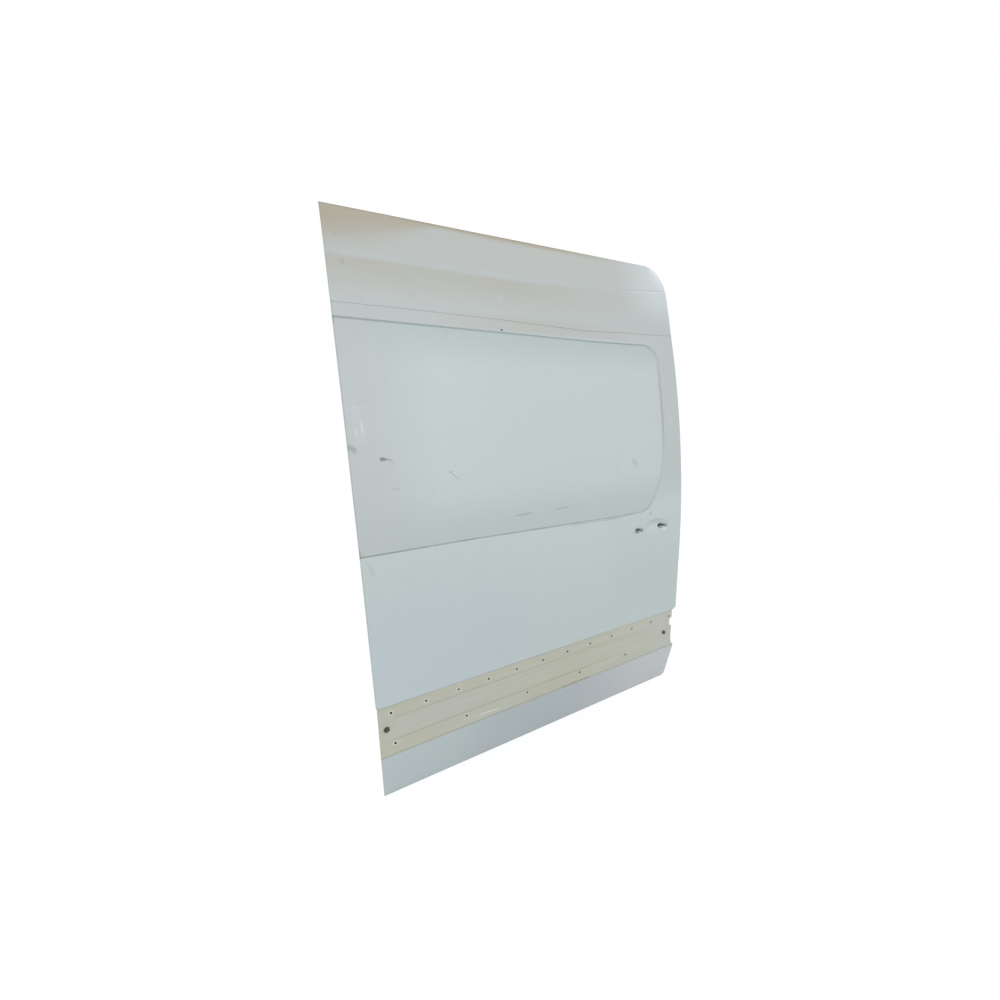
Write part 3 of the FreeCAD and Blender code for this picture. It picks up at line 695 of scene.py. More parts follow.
# Start and end, half width, colour, strength and raggedness of each mark
MARKS = tuple(Mark(*row) for row in (
    ((0.008, 1.180), (0.018, 1.172), 0.014, (128, 138, 140), 0.55, 0.006),
    ((0.088, 1.144), (0.097, 1.142), 0.0085, (96, 110, 112), 0.85, 0.003),
    ((0.097, 1.143), (0.118, 1.139), 0.0040, (130, 140, 142), 0.6, 0.003),
    ((0.060, 1.150), (0.076, 1.128), 0.0030, (170, 180, 182), 0.3, 0.004),
    ((0.291, 1.090), (0.318, 1.066), 0.0038, (140, 154, 152), 0.5, 0.003),
    ((0.280, 1.092), (0.300, 1.090), 0.0030, (150, 160, 158), 0.35, 0.003),
    ((0.112, 1.056), (0.130, 1.053), 0.0030, (150, 162, 160), 0.6, 0.003),
    ((0.515, 0.922), (0.577, 0.923), 0.0046, (134, 148, 144), 0.55, 0.004),
    ((0.470, 0.918), (0.520, 0.921), 0.0030, (165, 176, 172), 0.5, 0.003),
    ((0.677, 0.924), (0.731, 0.926), 0.0046, (138, 150, 146), 0.55, 0.004),
    ((0.735, 0.927), (0.800, 0.930), 0.0030, (165, 176, 172), 0.4, 0.003),
    ((1.060, 1.072), (1.075, 1.056), 0.016, (178, 176, 156), 0.45, 0.008),
    ((1.266, 1.250), (1.280, 1.220), 0.008, (216, 214, 198), 0.55, 0.006),
    # Painted highlight: pale streaks and a pinkish patch at the window's rear edge
    ((0.044, 1.251), (0.046, 1.220), 0.0055, (226, 232, 232), 0.55, 0.003),
    ((0.027, 1.228), (0.030, 1.216), 0.0060, (226, 230, 228), 0.55, 0.003),
    ((0.030, 1.300), (0.040, 1.210), 0.0300, (206, 206, 210), 0.40, 0.010),
    ((0.115, 1.136), (0.124, 1.122), 0.0060, (176, 186, 186), 0.45, 0.004),
    # Painted highlight at the top front corner
    ((1.283, 1.858), (1.322, 1.822), 0.0300, (255, 255, 255), 0.95),
    ((1.285, 1.835), (1.312, 1.810), 0.0600, (226, 232, 238), 0.70),
    ((0.020, 1.300), (0.060, 1.310), 0.008, (180, 190, 190), 0.4, 0.008),
    ((0.022, 0.845), (0.032, 0.812), 0.012, (172, 182, 180), 0.35, 0.010),
    # Painted highlights in the band's lower part, with a bright painted reflection streak
    ((0.270, 0.2060), (0.460, 0.2030), 0.0150, (192, 196, 192), 0.55, 0.004),
    ((0.255, 0.2850), (0.360, 0.2810), 0.0050, (206, 206, 197), 0.50, 0.002),
    ((0.240, 0.1950), (0.360, 0.1930), 0.0030, (206, 207, 199), 0.50, 0.001),
    ((0.345, 0.2102), (0.418, 0.2062), 0.0030, (240, 239, 232), 0.85, 0.0005),
    ((0.280, 0.2132), (0.345, 0.2102), 0.0026, (222, 222, 214), 0.60, 0.001),
    ((0.520, 1.640), (0.535, 1.655), 0.0120, (206, 209, 207), 0.4, 0.008),
    ((0.671, 1.718), (0.674, 1.718), 0.0050, (140, 138, 130), 0.35, 0.002),
    ((0.033, 1.775), (0.037, 1.774), 0.0080, (160, 162, 155), 0.4, 0.004),
    ((0.043, 1.697), (0.045, 1.688), 0.0075, (160, 163, 156), 0.45, 0.004),
    ((0.700, 0.1900), (0.830, 0.1900), 0.0040, (150, 138, 114), 0.7, 0.003),
    ((1.126, 0.289), (1.128, 0.289), 0.0030, (140, 138, 124), 0.6),
    ((1.271, 0.232), (1.273, 0.232), 0.0040, (150, 148, 136), 0.6),
    ((1.147, 0.847), (1.149, 0.847), 0.0080, (148, 160, 158), 0.55),
    # Painted shade in the dip at the rear keyhole; painted light inside the handle bowl and on its lower rim
    ((1.066, 0.783), (1.088, 0.783), 0.0300, (172, 183, 181), 0.45, 0.004),
    ((1.150, 0.776), (1.200, 0.776), 0.0400, (210, 219, 218), 0.50),
    ((1.122, 0.752), (1.155, 0.738), 0.0060, (206, 204, 196), 0.50, 0.002),
    ((1.155, 0.738), (1.215, 0.742), 0.0060, (208, 205, 196), 0.50, 0.002),
    # Painted shade on the bowl's upper rim, and a painted highlight under the front keyhole
    ((1.120, 0.802), (1.150, 0.816), 0.0060, (164, 174, 173), 0.40, 0.002),
    ((1.236, 0.766), (1.241, 0.768), 0.0060, (244, 247, 247), 0.70, 0.002),
))


@dataclass(frozen=True)
class DoorPaint:
    """White door paint with its grime, painted shade and painted highlights: the finish of the outer sheets.

    The ranges in its layers are door places and distances in metres, or shares of noise.
    """

    name: str = "door_white_paint"
    body: Triple = (198, 209, 209)
    low_body: Triple = (190, 202, 202)
    sill: Triple = (179, 188, 191)
    sill_rear: Triple = (188, 200, 201)
    sill_front: Triple = (195, 199, 202)
    dull: Triple = (186, 198, 197)
    margin: Triple = (190, 197, 197)
    cream: Triple = (189, 190, 174)
    roof: Triple = (193, 198, 197)
    beige: Triple = (185, 185, 175)
    tan: Triple = (179, 171, 153)
    dirt: Triple = (122, 129, 122)
    ring: float = 0.0125
    ragged_scale: float = 120
    ragged_step: float = 0.37
    relief: float = 0.00008

    def lines(self, g: Graph) -> None:
        """Lays grime on the blank window's foot and the lap joint, grey and brown lines on its front, painted
        shade on its head, and grey lines on the band's edges, painted shade at the upper one.

        Args:
            g: Shader nodes.
        """
        gap = g.numbers("window_gap")
        patchy = g.rising(g.noise(9, 4, (1, 1, 3), 3.1), 0.3, 0.62)
        g.lay(self.dirt, g.near(gap, 0.001, 0.0034), g.rising(g.z, 1.10, 0.90), g.rising(g.x, 1.30, 0.95),
              g.scaled(patchy, 0.30, 0.38))
        g.lay((160, 140, 120), g.near(gap, 0.0075, 0.003), g.rising(g.z, 0.90, 0.87), g.near(g.x, 0.86, 0.20),
              patchy, 0.6)
        # Painted shade along the window's head, under the step
        g.lay((128, 148, 146), g.near(gap, -0.001, 0.0036), g.rising(g.z, 1.44, 1.50),
              g.rising(g.x, 1.24, 1.10), 0.5)
        g.lay((178, 160, 140), g.near(gap, 0.0, 0.005), g.near(g.z, 1.28, 0.22),
              g.rising(g.x, 1.1, 1.2), 0.45)
        g.lay((150, 160, 158), g.near(gap, 0.0, 0.0055), g.rising(g.x, 0.9, 1.15), 0.22)
        g.lay((146, 148, 142), g.near(g.numbers("seam_gap"), 0.0, 0.0030),
              g.scaled(g.rising(g.x, 0.45, 0.80), 0.12, 0.05))
        # Grey lines at the band's edges; at the upper edge this is painted shade under the step
        g.lay((150, 148, 136), g.math("MAXIMUM", g.near(g.z, 0.188, 0.005), g.near(g.z, 0.369, 0.0045)), 0.4)

    def window_zone(self, g: Graph) -> None:
        """Lays duller paint at the rear, head and foot of the blank window, and on the margin to its front.

        Args:
            g: Shader nodes.
        """
        gap = g.numbers("window_gap")
        inside = g.product(g.rising(gap, 0.003, -0.003), g.rising(g.z, 0.84, 0.87))
        ends = g.math("MAXIMUM", g.rising(g.z, 1.40, 1.53), g.rising(g.z, 1.06, 0.88))
        g.lay(self.dull, inside, ends, 0.85)
        g.lay((191, 197, 199), inside, g.rising(g.x, 0.30, 0.02), 0.85)
        g.lay(self.margin, g.rising(gap, -0.003, 0.004), g.rising(g.x, 1.08, 1.22),
              g.rising(g.z, 0.86, 1.00), 0.85)

    def roof_zone(self, g: Graph) -> None:
        """Lays the paint over the blank window: grey, beige painted shade under the crease, tan along the
        top, and at the front a painted highlight, a painted shade line and a painted glint by the crease.

        Args:
            g: Shader nodes.
        """
        crease, top = g.numbers("crease_gap"), g.numbers("top_gap")
        mottle = g.scaled(g.noise(7, 4, (0.5, 1, 2), 9.0), 0.9, 0.35)
        front_lift = g.math("MULTIPLY", g.rising(g.x, 1.1, 1.25), 0.03)
        over = g.rising(g.math("SUBTRACT", g.z, front_lift), 1.532, 1.545)
        g.lay(self.roof, over)
        g.lay(self.beige, over, g.rising(g.z, 1.60, 1.58), g.rising(g.x, 1.15, 0.80),
              g.rising(g.x, 0.20, 0.60), mottle, 0.42)
        # Beige below the crease, fading toward the joint: painted shade of the slope under the ridge
        g.lay(self.beige, g.rising(crease, 0.006, -0.010), g.rising(crease, -0.125, -0.015), over, mottle,
              g.scaled(g.rising(g.x, 0.95, 0.60), 0.65, 0.35))
        g.lay((192, 195, 190), g.rising(crease, 0.010, 0.040), over, 0.6)
        reach = g.math("MAXIMUM", g.math("SUBTRACT", 0.115, g.math("MULTIPLY", g.x, 0.30)), 0.016)
        reach = g.product(reach, g.math("ADD", g.noise(5, 5, (0.6, 1, 2), 12.0), 0.55))
        g.lay(self.tan, g.rising(g.math("DIVIDE", top, reach), 1.45, 0.10), over, g.scaled(mottle, 0.5, 0.6),
              g.rising(g.x, 1.20, 0.75))
        g.lay((150, 134, 108), g.rising(top, 0.008, 0.001), over, g.near(g.x, 0.40, 0.75), mottle, 0.55)
        # At the front: painted highlight below the crease, a painted shade line just above it, and a painted
        # glint along it
        g.lay((222, 232, 237), g.rising(g.x, 1.02, 1.31), g.rising(g.z, 1.60, 1.74), 0.55)
        g.lay((168, 174, 176), g.near(crease, 0.007, 0.005), g.rising(g.x, 1.0, 1.12), 0.3)
        g.lay((226, 231, 233), g.near(crease, 0.000, 0.0040), g.rising(g.x, 1.05, 1.22), 0.4)

    def band(self, g: Graph) -> None:
        """Lays glue-stained cream in the band: streaked, scuffed in front, paler in the field's rear half.

        The rub strip's rear holes have a pale ring of clean paint, fainter to the front.

        Args:
            g: Shader nodes.
        """
        under = g.colour
        inside = g.product(g.rising(g.z, 0.185, 0.188), g.rising(g.z, 0.372, 0.369))
        streak = g.rising(g.noise(26, 4, (0.10, 1, 2.2), 5.0), 0.35, 0.7)
        g.colour = g.blend(streak, self.cream, (196, 196, 181))
        g.lay((172, 164, 142), g.rising(g.noise(240, 2, (0.5, 1, 1), 1.7), 0.58, 0.74), 0.25)
        scuff = g.rising(g.noise(18, 5, (0.5, 1, 1.5), 10.0), 0.28, 0.6)
        g.lay((192, 195, 189), g.rising(g.x, 0.98, 1.28), scuff, 0.75)
        gap = g.numbers("field_gap")
        g.lay((193, 194, 187), g.rising(gap, 0.001, -0.004), g.rising(g.x, 0.75, 0.20), 0.6)
        g.lay((158, 152, 134), g.near(gap, 0.0, 0.0045), g.rising(g.x, 1.15, 0.75),
              g.rising(g.x, 0.045, 0.075), 0.36)
        for x, z in UPPER_HOLES[:5] + LOWER_HOLES[:3]:
            ring = self.stroke(g, Mark((x - 0.001, z), (x + 0.001, z), self.ring), g.place)
            g.lay((228, 227, 216), ring, 0.9 - 0.75 * x)
        g.colour = g.blend(inside, under, g.colour)

    def stroke(self, g: Graph, mark: Mark, place: Socket) -> Socket:
        """Mask of one mark, from the stroke group.

        Args:
            g: Shader nodes.
            mark: The mark.
            place: Door places, ragged or plain.

        Returns:
            One on the mark, zero past it.
        """
        (x, z), (end_x, end_z) = mark.start, mark.end
        node = g.node("Group", node_tree=stroke_group())
        g.tree.links.new(place, node.inputs["Place"])
        node.inputs["Start"].default_value = (x, 0, z)
        node.inputs["Way"].default_value = (end_x - x, 0, end_z - z)
        node.inputs["Half"].default_value = mark.half
        return node.outputs[0]

    def ragged(self, g: Graph, amount: float, offset: float) -> Socket:
        """Door places moved about by fine noise, so that a mark's edge is uneven.

        Args:
            g: Shader nodes.
            amount: How far they move.
            offset: Moves the noise.

        Returns:
            The places.
        """
        if not amount:
            return g.place
        mapping = g.node("Mapping", {"Vector": g.place, "Location": (offset, offset, offset)})
        cloud = g.node("TexNoise", {"Vector": mapping.outputs[0], "Scale": self.ragged_scale})
        swing = {0: cloud.outputs["Color"], 1: (2 * amount, 0, 2 * amount), 2: g.place}
        moved = g.node("VectorMath", swing, operation="MULTIPLY_ADD").outputs[0]
        return g.node("VectorMath", {0: moved, 1: (amount, 0, amount)}, operation="SUBTRACT").outputs[0]

    def build(self) -> Finish:
        """Makes the material: zones of paint with painted shade on the lower body and sill, the band, dirt
        and painted shade lines, marks with painted highlights and shade, gloss and orange peel.

        Returns:
            The material.
        """
        g = Graph(self.name)
        # The lower body is darker than the upper: painted shade
        g.colour = g.blend(g.rising(g.z, 1.0, 0.45), self.body, self.low_body)
        g.lay((203, 210, 212), g.rising(g.noise(1.6, 3, offset=2.0), 0.42, 0.66), 0.35)
        g.lay((195, 206, 212), g.rising(g.x, 0.75, 0.05), g.rising(g.z, 0.80, 0.50), 0.75)
        g.lay((206, 205, 200), g.rising(g.noise(3.2, 4, offset=7.0), 0.5, 0.72),
              g.rising(g.z, 1.3, 1.55), 0.5)
        # The tucked-in sill is darker, lighter toward both ends: painted shade
        sill = g.blend(g.rising(g.x, 0.15, 0.55), self.sill_rear, self.sill)
        sill = g.blend(g.rising(g.x, 0.70, 1.15), sill, self.sill_front)
        g.lay(sill, g.rising(g.z, 0.189, 0.185))
        self.window_zone(g)
        self.roof_zone(g)
        g.lay((160, 158, 146), g.rising(g.noise(60, 6, (1, 1, 0.6), 6.0), 0.55, 0.8), 0.10)
        self.band(g)
        self.lines(g)
        for i, mark in enumerate(MARKS):
            place = self.ragged(g, mark.ragged, self.ragged_step * i)
            g.lay(mark.colour, self.stroke(g, mark, place), mark.strength)
        coat = g.blend(g.rising(g.noise(30, 6, offset=4.0), 0.40, 0.70), (194, 201, 201), (187, 194, 194))
        g.lay(coat, g.rising(g.inward, 0.15, 0.55))
        rough = g.scaled(g.noise(14, 4, offset=8.0), 0.22, 0.30)
        return g.finish(rough, g.noise(420, 2, offset=1.0), self.relief)


@dataclass(frozen=True)
class FramePaint:
    """Paint of the inner frame: thin white coat with dust and runs, and grey painted shade on the faces
    toward the cavity.
    """

    name: str = "inner_frame_paint"
    coat: Triple = (202, 207, 205)
    thin: Triple = (176, 182, 180)
    dust: Triple = (158, 146, 126)
    cavity_shade: Triple = (190, 196, 194)
    runs: Triple = (188, 186, 176)
    specks: Triple = (150, 140, 124)
    relief: float = 0.00012

    def build(self) -> Finish:
        """Makes the material.

        Returns:
            The material.
        """
        g = Graph(self.name)
        patch = g.rising(g.noise(16, 6, offset=2.5), 0.42, 0.68)
        g.colour = g.blend(g.product(patch, 0.25), self.coat, self.thin)
        g.lay(self.runs, g.rising(g.noise(38, 3, (1, 1, 0.12), 4.4), 0.56, 0.74), 0.22)
        g.lay(self.dust, g.rising(g.z, 0.45, 0.02), g.rising(g.noise(70, 8, offset=6.6), 0.40, 0.75), 0.35)
        # Grey on faces toward the cavity: painted shade for the cavity seen through the holes
        g.lay(self.cavity_shade, g.rising(g.inward, -0.3, -0.7))
        g.lay(self.specks, g.rising(g.noise(190, 2, offset=3.0), 0.68, 0.80), 0.4)
        return g.finish(g.scaled(g.noise(20, 3), 0.25, 0.38), g.noise(300, 3, offset=5.0), self.relief)


@dataclass(frozen=True)
class PlatedSteel:
    """Yellow-passivated zinc on the pads and latch plates, dulled and scratched."""

    name: str = "plated_steel"
    zinc: Triple = (176, 174, 160)
    dulled: Triple = (150, 148, 140)
    stain: Triple = (138, 112, 84)
    relief: float = 0.00005
    metallic: float = 0.85

    def build(self) -> Finish:
        """Makes the material.

        Returns:
            The material.
        """
        g = Graph(self.name)
        bloom = g.rising(g.noise(34, 5, offset=3.3), 0.38, 0.68)
        g.colour = g.blend(bloom, self.zinc, self.dulled)
        g.lay(self.stain, g.rising(g.noise(90, 4, offset=1.2), 0.60, 0.76), 0.5)
        brushed = g.noise(700, 2, (0.06, 1, 1), 0.3)
        return g.finish(g.scaled(bloom, 0.2, 0.34), brushed, self.relief, self.metallic)


@dataclass(frozen=True)
class Moulded:
    """Moulded plastic, rubber or thick coat: a skin with fine grain and dust on it."""

    name: str
    skin: Triple
    dust: Triple
    roughness: float
    grain: float
    relief: float = 0.00015

    def build(self) -> Finish:
        """Makes the material.

        Returns:
            The material.
        """
        g = Graph(self.name)
        worn = g.rising(g.noise(45, 5, offset=2.2), 0.45, 0.75)
        g.colour = g.blend(g.product(worn, 0.5), self.skin, self.dust)
        return g.finish(g.scaled(worn, 0.2, self.roughness), g.noise(self.grain, 2, offset=0.6), self.relief)


@dataclass(frozen=True)
class Finishes:
    """The materials of the whole door."""

    paint: Finish
    inner: Finish
    steel: Finish
    plastic: Finish
    clip: Finish
    rubber: Finish
    sealer: Finish
    rim: Finish


def make_finishes() -> Finishes:
    """Makes every material of the door.

    Returns:
        The materials.
    """
    return Finishes(
        DoorPaint().build(), FramePaint().build(), PlatedSteel().build(),
        Moulded("black_plastic", (52, 54, 55), (128, 126, 120), 0.42, 500).build(),
        Moulded("aged_clip_plastic", (66, 68, 60), (128, 128, 116), 0.5, 380).build(),
        Moulded("black_rubber", (38, 38, 39), (96, 94, 90), 0.7, 320).build(),
        Moulded("grey_sealer", (186, 188, 182), (162, 156, 142), 0.6, 120).build(),
        # The keyhole rims' grey: painted shade inside the keyholes
        Moulded("keyhole_rim_painted_shade", (172, 184, 182), (136, 146, 144), 0.6, 260).build())


@dataclass
class SubAssembly:
    """Pieces that make up one part of the door."""

    form: DoorForm
    finishes: Finishes
    built: list[Piece] = field(default_factory=list, kw_only=True)

    def keep(self, piece: Piece, finish: Finish) -> Piece:
        """Gives a piece its finish and counts it in.

        Args:
            piece: The piece.
            finish: Its material.

        Returns:
            The piece.
        """
        piece.data.materials.append(finish)
        self.built.append(piece)
        return piece


@dataclass
class OuterSheets(SubAssembly):
    """The pressed outer sheets: body panel, rub strip band with the sill, and roof extension."""

    sheet: float = 0.001
    fold: float = 0.0019
    fold_width: float = 0.011
    clip_radius: float = 0.0041
    stem_radius: float = 0.0053
    strip_hole: Place = (0.519, 1.5425)
    strip_radius: float = 0.003
    lap: float = 0.018
    lap_depth: float = 0.0014
    lap_inset: float = 0.013
    lap_start: float = 0.0002
    lap_step: float = 0.0022
    seam_clear: float = 0.0006
    roof_clear: float = 0.0003
    # Height where the main sheet's rows begin to follow the joint's sag, and the height that this takes
    sag: Place = (1.548, 0.022)
    # Height and width of the roof extension's lip over the joint
    lip: Place = (0.0004, 0.012)
    # Lengths over which the folded return fades at the band's two edges, and shares of its width
    fold_ends: Place = (0.012, 0.016)
    fold_shares: Triple = (0.4, 1.0, 1.0)
    # Room that the straight edges leave behind the foot's corner, and under and behind the top's
    corner_gaps: Triple = (0.002, 0.004, 0.005)
    joint: float = 1.5798
    clear: float = 0.016
    ends: float = 0.06
    # Depth behind the face and growth of the outline of a keyhole's turned-in rim
    collar: tuple[Place, ...] = ((0.0, 0.0008), (0.0003, 0.0002), (0.0012, -0.0006), (0.004, -0.0020),
                                 (0.008, -0.0034), (0.012, -0.0044))

    def hole_gap(self, x: Array, z: Array) -> Array:
        """Distance outside the nearest opening of the sheets, below zero inside one.

        The openings are circles, and keyholes that join a circle with a box to its front.

        Args:
            x: Places along the door.
            z: Heights.

        Returns:
            The distances.
        """
        form = self.form
        gap = np.full(np.broadcast(x, z).shape, 1.0)
        circles = [(p, self.clip_radius) for p in UPPER_HOLES + LOWER_HOLES]
        circles += [(p, self.stem_radius) for p in CLIP_PLACES] + [(self.strip_hole, self.strip_radius)]
        circles += [((k, form.keyhole_z), form.keyhole_radius) for k in form.keyhole_x]
        for (cx, cz), radius in circles:
            gap = np.minimum(gap, np.hypot(x - cx, z - cz) - radius)
        half = form.slot_length / 2
        for k in form.keyhole_x:
            box = np.maximum(np.abs(x - k - half) - half, np.abs(z - form.keyhole_z) - form.slot_half)
            gap = np.minimum(gap, box)
        return gap

    def keyhole_rim(self, k: float) -> Array:
        """Outline of one keyhole: most of a circle, then the slot to its front, 96 even places round it.

        Args:
            k: Middle of the circle along the door.

        Returns:
            Places and heights, one row each.
        """
        r, half, length = self.form.keyhole_radius, self.form.slot_half, self.form.slot_length
        start = math.asin(half / r)
        turn = np.linspace(start, 2 * math.pi - start, 60)
        arc = np.stack([r * np.cos(turn), r * np.sin(turn)], axis=1)
        corners = np.concatenate([arc, [(length, -half), (length, half), arc[0]]])
        run = run_of(corners)
        even = np.linspace(0, run[-1], 97)[:-1]
        places = [np.interp(even, run, corners[:, axis]) for axis in (0, 1)]
        return np.stack(places, axis=1) + np.array([k, self.form.keyhole_z])

    def keyhole_collars(self) -> Piece:
        """Turned-in rims of the keyholes in one mesh: each outline carried inward, rounded over at the face.

        Returns:
            The rims.
        """
        depth, grow = np.array(self.collar).T
        forms = []
        for k in self.form.keyhole_x:
            rim = self.keyhole_rim(k)
            way = np.roll(rim, -1, axis=0) - np.roll(rim, 1, axis=0)
            way /= np.linalg.norm(way, axis=1, keepdims=True)
            x = rim[:, 0] + grow[:, None] * way[:, 1]
            z = rim[:, 1] - grow[:, None] * way[:, 0]
            forms.append(points_of(x, self.form.face(x, z) + depth[:, None], z))
        cells = grid_faces(len(depth), len(rim), True)
        return self.keep(add_forms("keyhole_collars", forms, cells), self.finishes.rim)

    def snapped(self, x: Array, z: Array) -> tuple[Array, Array]:
        """Moves grid places that lie close to the rim of an opening on to the rim.

        A place moves by minus its distance along the distance's slope, found by differences.

        Args:
            x: Places along the door.
            z: Heights.

        Returns:
            The moved places and heights.
        """
        tiny, cell_share, most = 0.0001, 0.55, 0.0022
        reach = np.minimum(cell_share * np.maximum(np.gradient(x, axis=1), np.gradient(z, axis=0)), most)
        for _ in range(2):
            gap = self.hole_gap(x, z)
            slope_x = (self.hole_gap(x + tiny, z) - self.hole_gap(x - tiny, z)) / (2 * tiny)
            slope_z = (self.hole_gap(x, z + tiny) - self.hole_gap(x, z - tiny)) / (2 * tiny)
            move = np.where(np.abs(gap) < reach, -gap, 0)
            x, z = x + move * slope_x, z + move * slope_z
        return x, z

    def painted(self, name: str, points: Array, faces: Array) -> Piece:
        """Painted piece with the distances that its paint reads, kept by name as numbers of its vertices.

        Args:
            name: Name of the piece.
            points: Door places, one row a vertex.
            faces: Corner numbers.

        Returns:
            The piece.
        """
        piece = self.keep(add_mesh(name, points, faces), self.finishes.paint)
        form = self.form
        x, _, z = points[np.unique(faces)].T
        kept = {"window_gap": form.window_gap(x, z), "field_gap": form.field_gap(x, z),
                "seam_gap": z - form.seam(x), "crease_gap": z - form.crease(x), "top_gap": form.top(x) - z}
        for gap, values in kept.items():
            numbers = piece.data.attributes.new(gap, "FLOAT", "POINT")
            numbers.data.foreach_set("value", values.astype(np.float32))
        return piece

    def sheet_piece(self, name: str, x: Array, y: Array, z: Array) -> Piece:
        """Turns a grid of places into one sheet with its openings, and its thickness on the inner side.

        Args:
            name: Name of the piece.
            x: Places along the door, rows by columns.
            y: Distances inward.
            z: Heights.

        Returns:
            The sheet.
        """
        points = points_of(x, y, z)
        faces = grid_faces(*x.shape)
        middle = points[faces].mean(axis=1)
        piece = self.painted(name, points, faces[self.hole_gap(middle[:, 0], middle[:, 2]) > 0])
        solid = piece.modifiers.new("sheet", "SOLIDIFY")
        solid.thickness = self.sheet
        solid.offset = -1
        solid.use_even_offset = False
        return piece

    def across(self, share: Array, z: Array) -> Array:
        """Places along the door at heights z, with the last stretch at each end moved to meet the edges.

        Args:
            share: Even places along the door.
            z: Heights.

        Returns:
            The moved places.
        """
        width, ends = self.form.width, self.ends
        rear = self.form.rear_edge(z) + self.fold
        front = width - self.form.front_edge(z) + self.fold
        x = share + rear * ease((ends - share) / ends)
        return x - front * ease((share - width + ends) / ends)

    def body_panel(self) -> Piece:
        """Main sheet from the band's upper edge to the lap joint, with the lap set in behind the extension.

        y is the pressed face; past the joint the rows go on for the lap, set in by its depth.

        Returns:
            The sheet.
        """
        form = self.form
        joint = form.seam(np.array(0.0))
        xs = graded(0, form.width, 0.024, [
            (0, 0.004, 0.003), (form.width, 0.004, 0.003), (1.160, 0.115, 0.0034),
            *((k + 0.006, 0.018, 0.0016) for k in form.keyhole_x),
            (form.window_front, 0.008, 0.0022), (self.strip_hole[0], 0.005, 0.0014), (0.878, 0.035, 0.005)])
        zs = graded(form.band_top, joint + self.lap, 0.022, [
            (form.band_top, 0.003, 0.002), (form.bowl[1], 0.050, 0.0036), (form.keyhole_z, 0.012, 0.0016),
            (form.dimple[1], 0.012, 0.0036), (0.864, 0.010, 0.0018), (0.93, 0.06, 0.006),
            (1.535, 0.010, 0.0018), (1.49, 0.04, 0.005), (self.strip_hole[1], 0.004, 0.0013),
            (1.579, 0.006, 0.0012)])
        share, z = np.meshgrid(xs, zs)
        start, length = self.sag
        z = z + (form.seam(share) - joint) * ease((z - start) / length)
        x = self.across(share, z)
        past = z - form.seam(share) + self.seam_clear
        x = np.where(past > self.lap_start, np.clip(x, self.lap_inset, form.width - self.lap_inset), x)
        x, z = self.snapped(x, z)
        y = form.face(x, z) + self.lap_depth * ease(past / self.lap_step)
        return self.sheet_piece("body_panel", x, y, z)

    def band_and_sill(self) -> Piece:
        """Lower sheet: the recessed band with its holes, and the sill tucked in under it.

        Returns:
            The sheet.
        """
        form = self.form
        spots = [(x, 0.005, 0.0014) for x, _ in UPPER_HOLES + LOWER_HOLES]
        spots += [(x, 0.007, 0.002) for x, _ in CLIP_PLACES]
        spots += [(x, 0.004, 0.003) for x in (form.field_margin, form.width - form.field_margin)]
        spots += [(0, 0.012, 0.003), (form.width, 0.030, 0.003)]
        xs = graded(0, form.width, 0.024, spots, 0.9)
        spots = [(z, 0.004, 0.0014) for z in (0.188, 0.368)]
        spots += [(z, 0.005, 0.0014) for _, z in (UPPER_HOLES[0], LOWER_HOLES[0])]
        spots += [(z, 0.004, 0.002) for z in (form.field_low, form.field_high, 0.328)]
        spots += [(z, 0.006, 0.002) for _, z in CLIP_PLACES]
        zs = graded(self.fold, form.band_top, 0.016, spots + [(0, 0.004, 0.003)], 0.9)
        share, z = np.meshgrid(xs, zs)
        x, z = self.snapped(self.across(share, z), z)
        return self.sheet_piece("band_and_sill", x, form.face(x, z), z)

    def roof_extension(self) -> Piece:
        """Upper sheet: rows run from the lap joint to the top edge, sharing the height of each column.

        Returns:
            The sheet.
        """
        form = self.form
        xs = graded(0, form.width, 0.020, [
            (0, 0.004, 0.003), (form.width, 0.012, 0.002), (1.285, 0.045, 0.0045),
            (form.dents[0][0], 0.035, 0.006)], 0.3)
        rows = graded(0, 1, 0.05, [(0, 0.004, 0.006), (1, 0.01, 0.008), (0.52, 0.12, 0.016)], 0.3)
        share, up = np.meshgrid(xs, rows)
        x = np.clip(share, self.fold, form.width - self.fold)
        low = form.seam(x) + self.roof_clear
        height, width = self.lip
        z = low + up * (form.top(x, self.fold) - low)
        y = form.roof_face(x, z) - height * ease(1 - (z - low) / width)
        return self.sheet_piece("roof_extension_sheet", x, y, z)

    def folded_edge(self, name: str, path: Array, roof: bool) -> Piece:
        """Folded edge: a half round with a flat return, carried along the outline.

        The path runs with the door on its left. Each profile point has a distance in from the outline,
        along the path's normal, and a distance behind the face at that place.

        Args:
            name: Name of the piece.
            path: Outline places, x and z, one row a point.
            roof: True for the roof extension's face.

        Returns:
            The folded edge.
        """
        r = self.fold
        turn = np.linspace(0, math.pi, 9)
        around = np.broadcast_to(r - r * np.sin(turn), (len(path), len(turn)))
        back = r + (self.fold_width - r) * self.fold_share(path)[:, None] * np.array(self.fold_shares)
        inset = np.concatenate([around, back], axis=1)
        behind = np.concatenate([r - r * np.cos(turn), [2 * r, 2 * r, 2 * r - self.sheet]])
        x, z = beside(path, inset)
        at = beside(path, np.maximum(inset, r))
        face = self.form.roof_face(*at) if roof else self.form.face(*at)
        return self.painted(name, points_of(x, face + behind, z), grid_faces(*x.shape))

    def fold_share(self, path: Array) -> Array:
        """How much of the folded return is there: none at the front end of the band.

        Args:
            path: Outline places, x and z.

        Returns:
            Shares, 0 to 1.
        """
        low, high = self.form.sill_height, self.form.band_top
        first, last = self.fold_ends
        band = ease((path[:, 1] - low) / first) - ease((path[:, 1] - high) / last)
        return 1 - band * (path[:, 0] > self.form.width / 2)

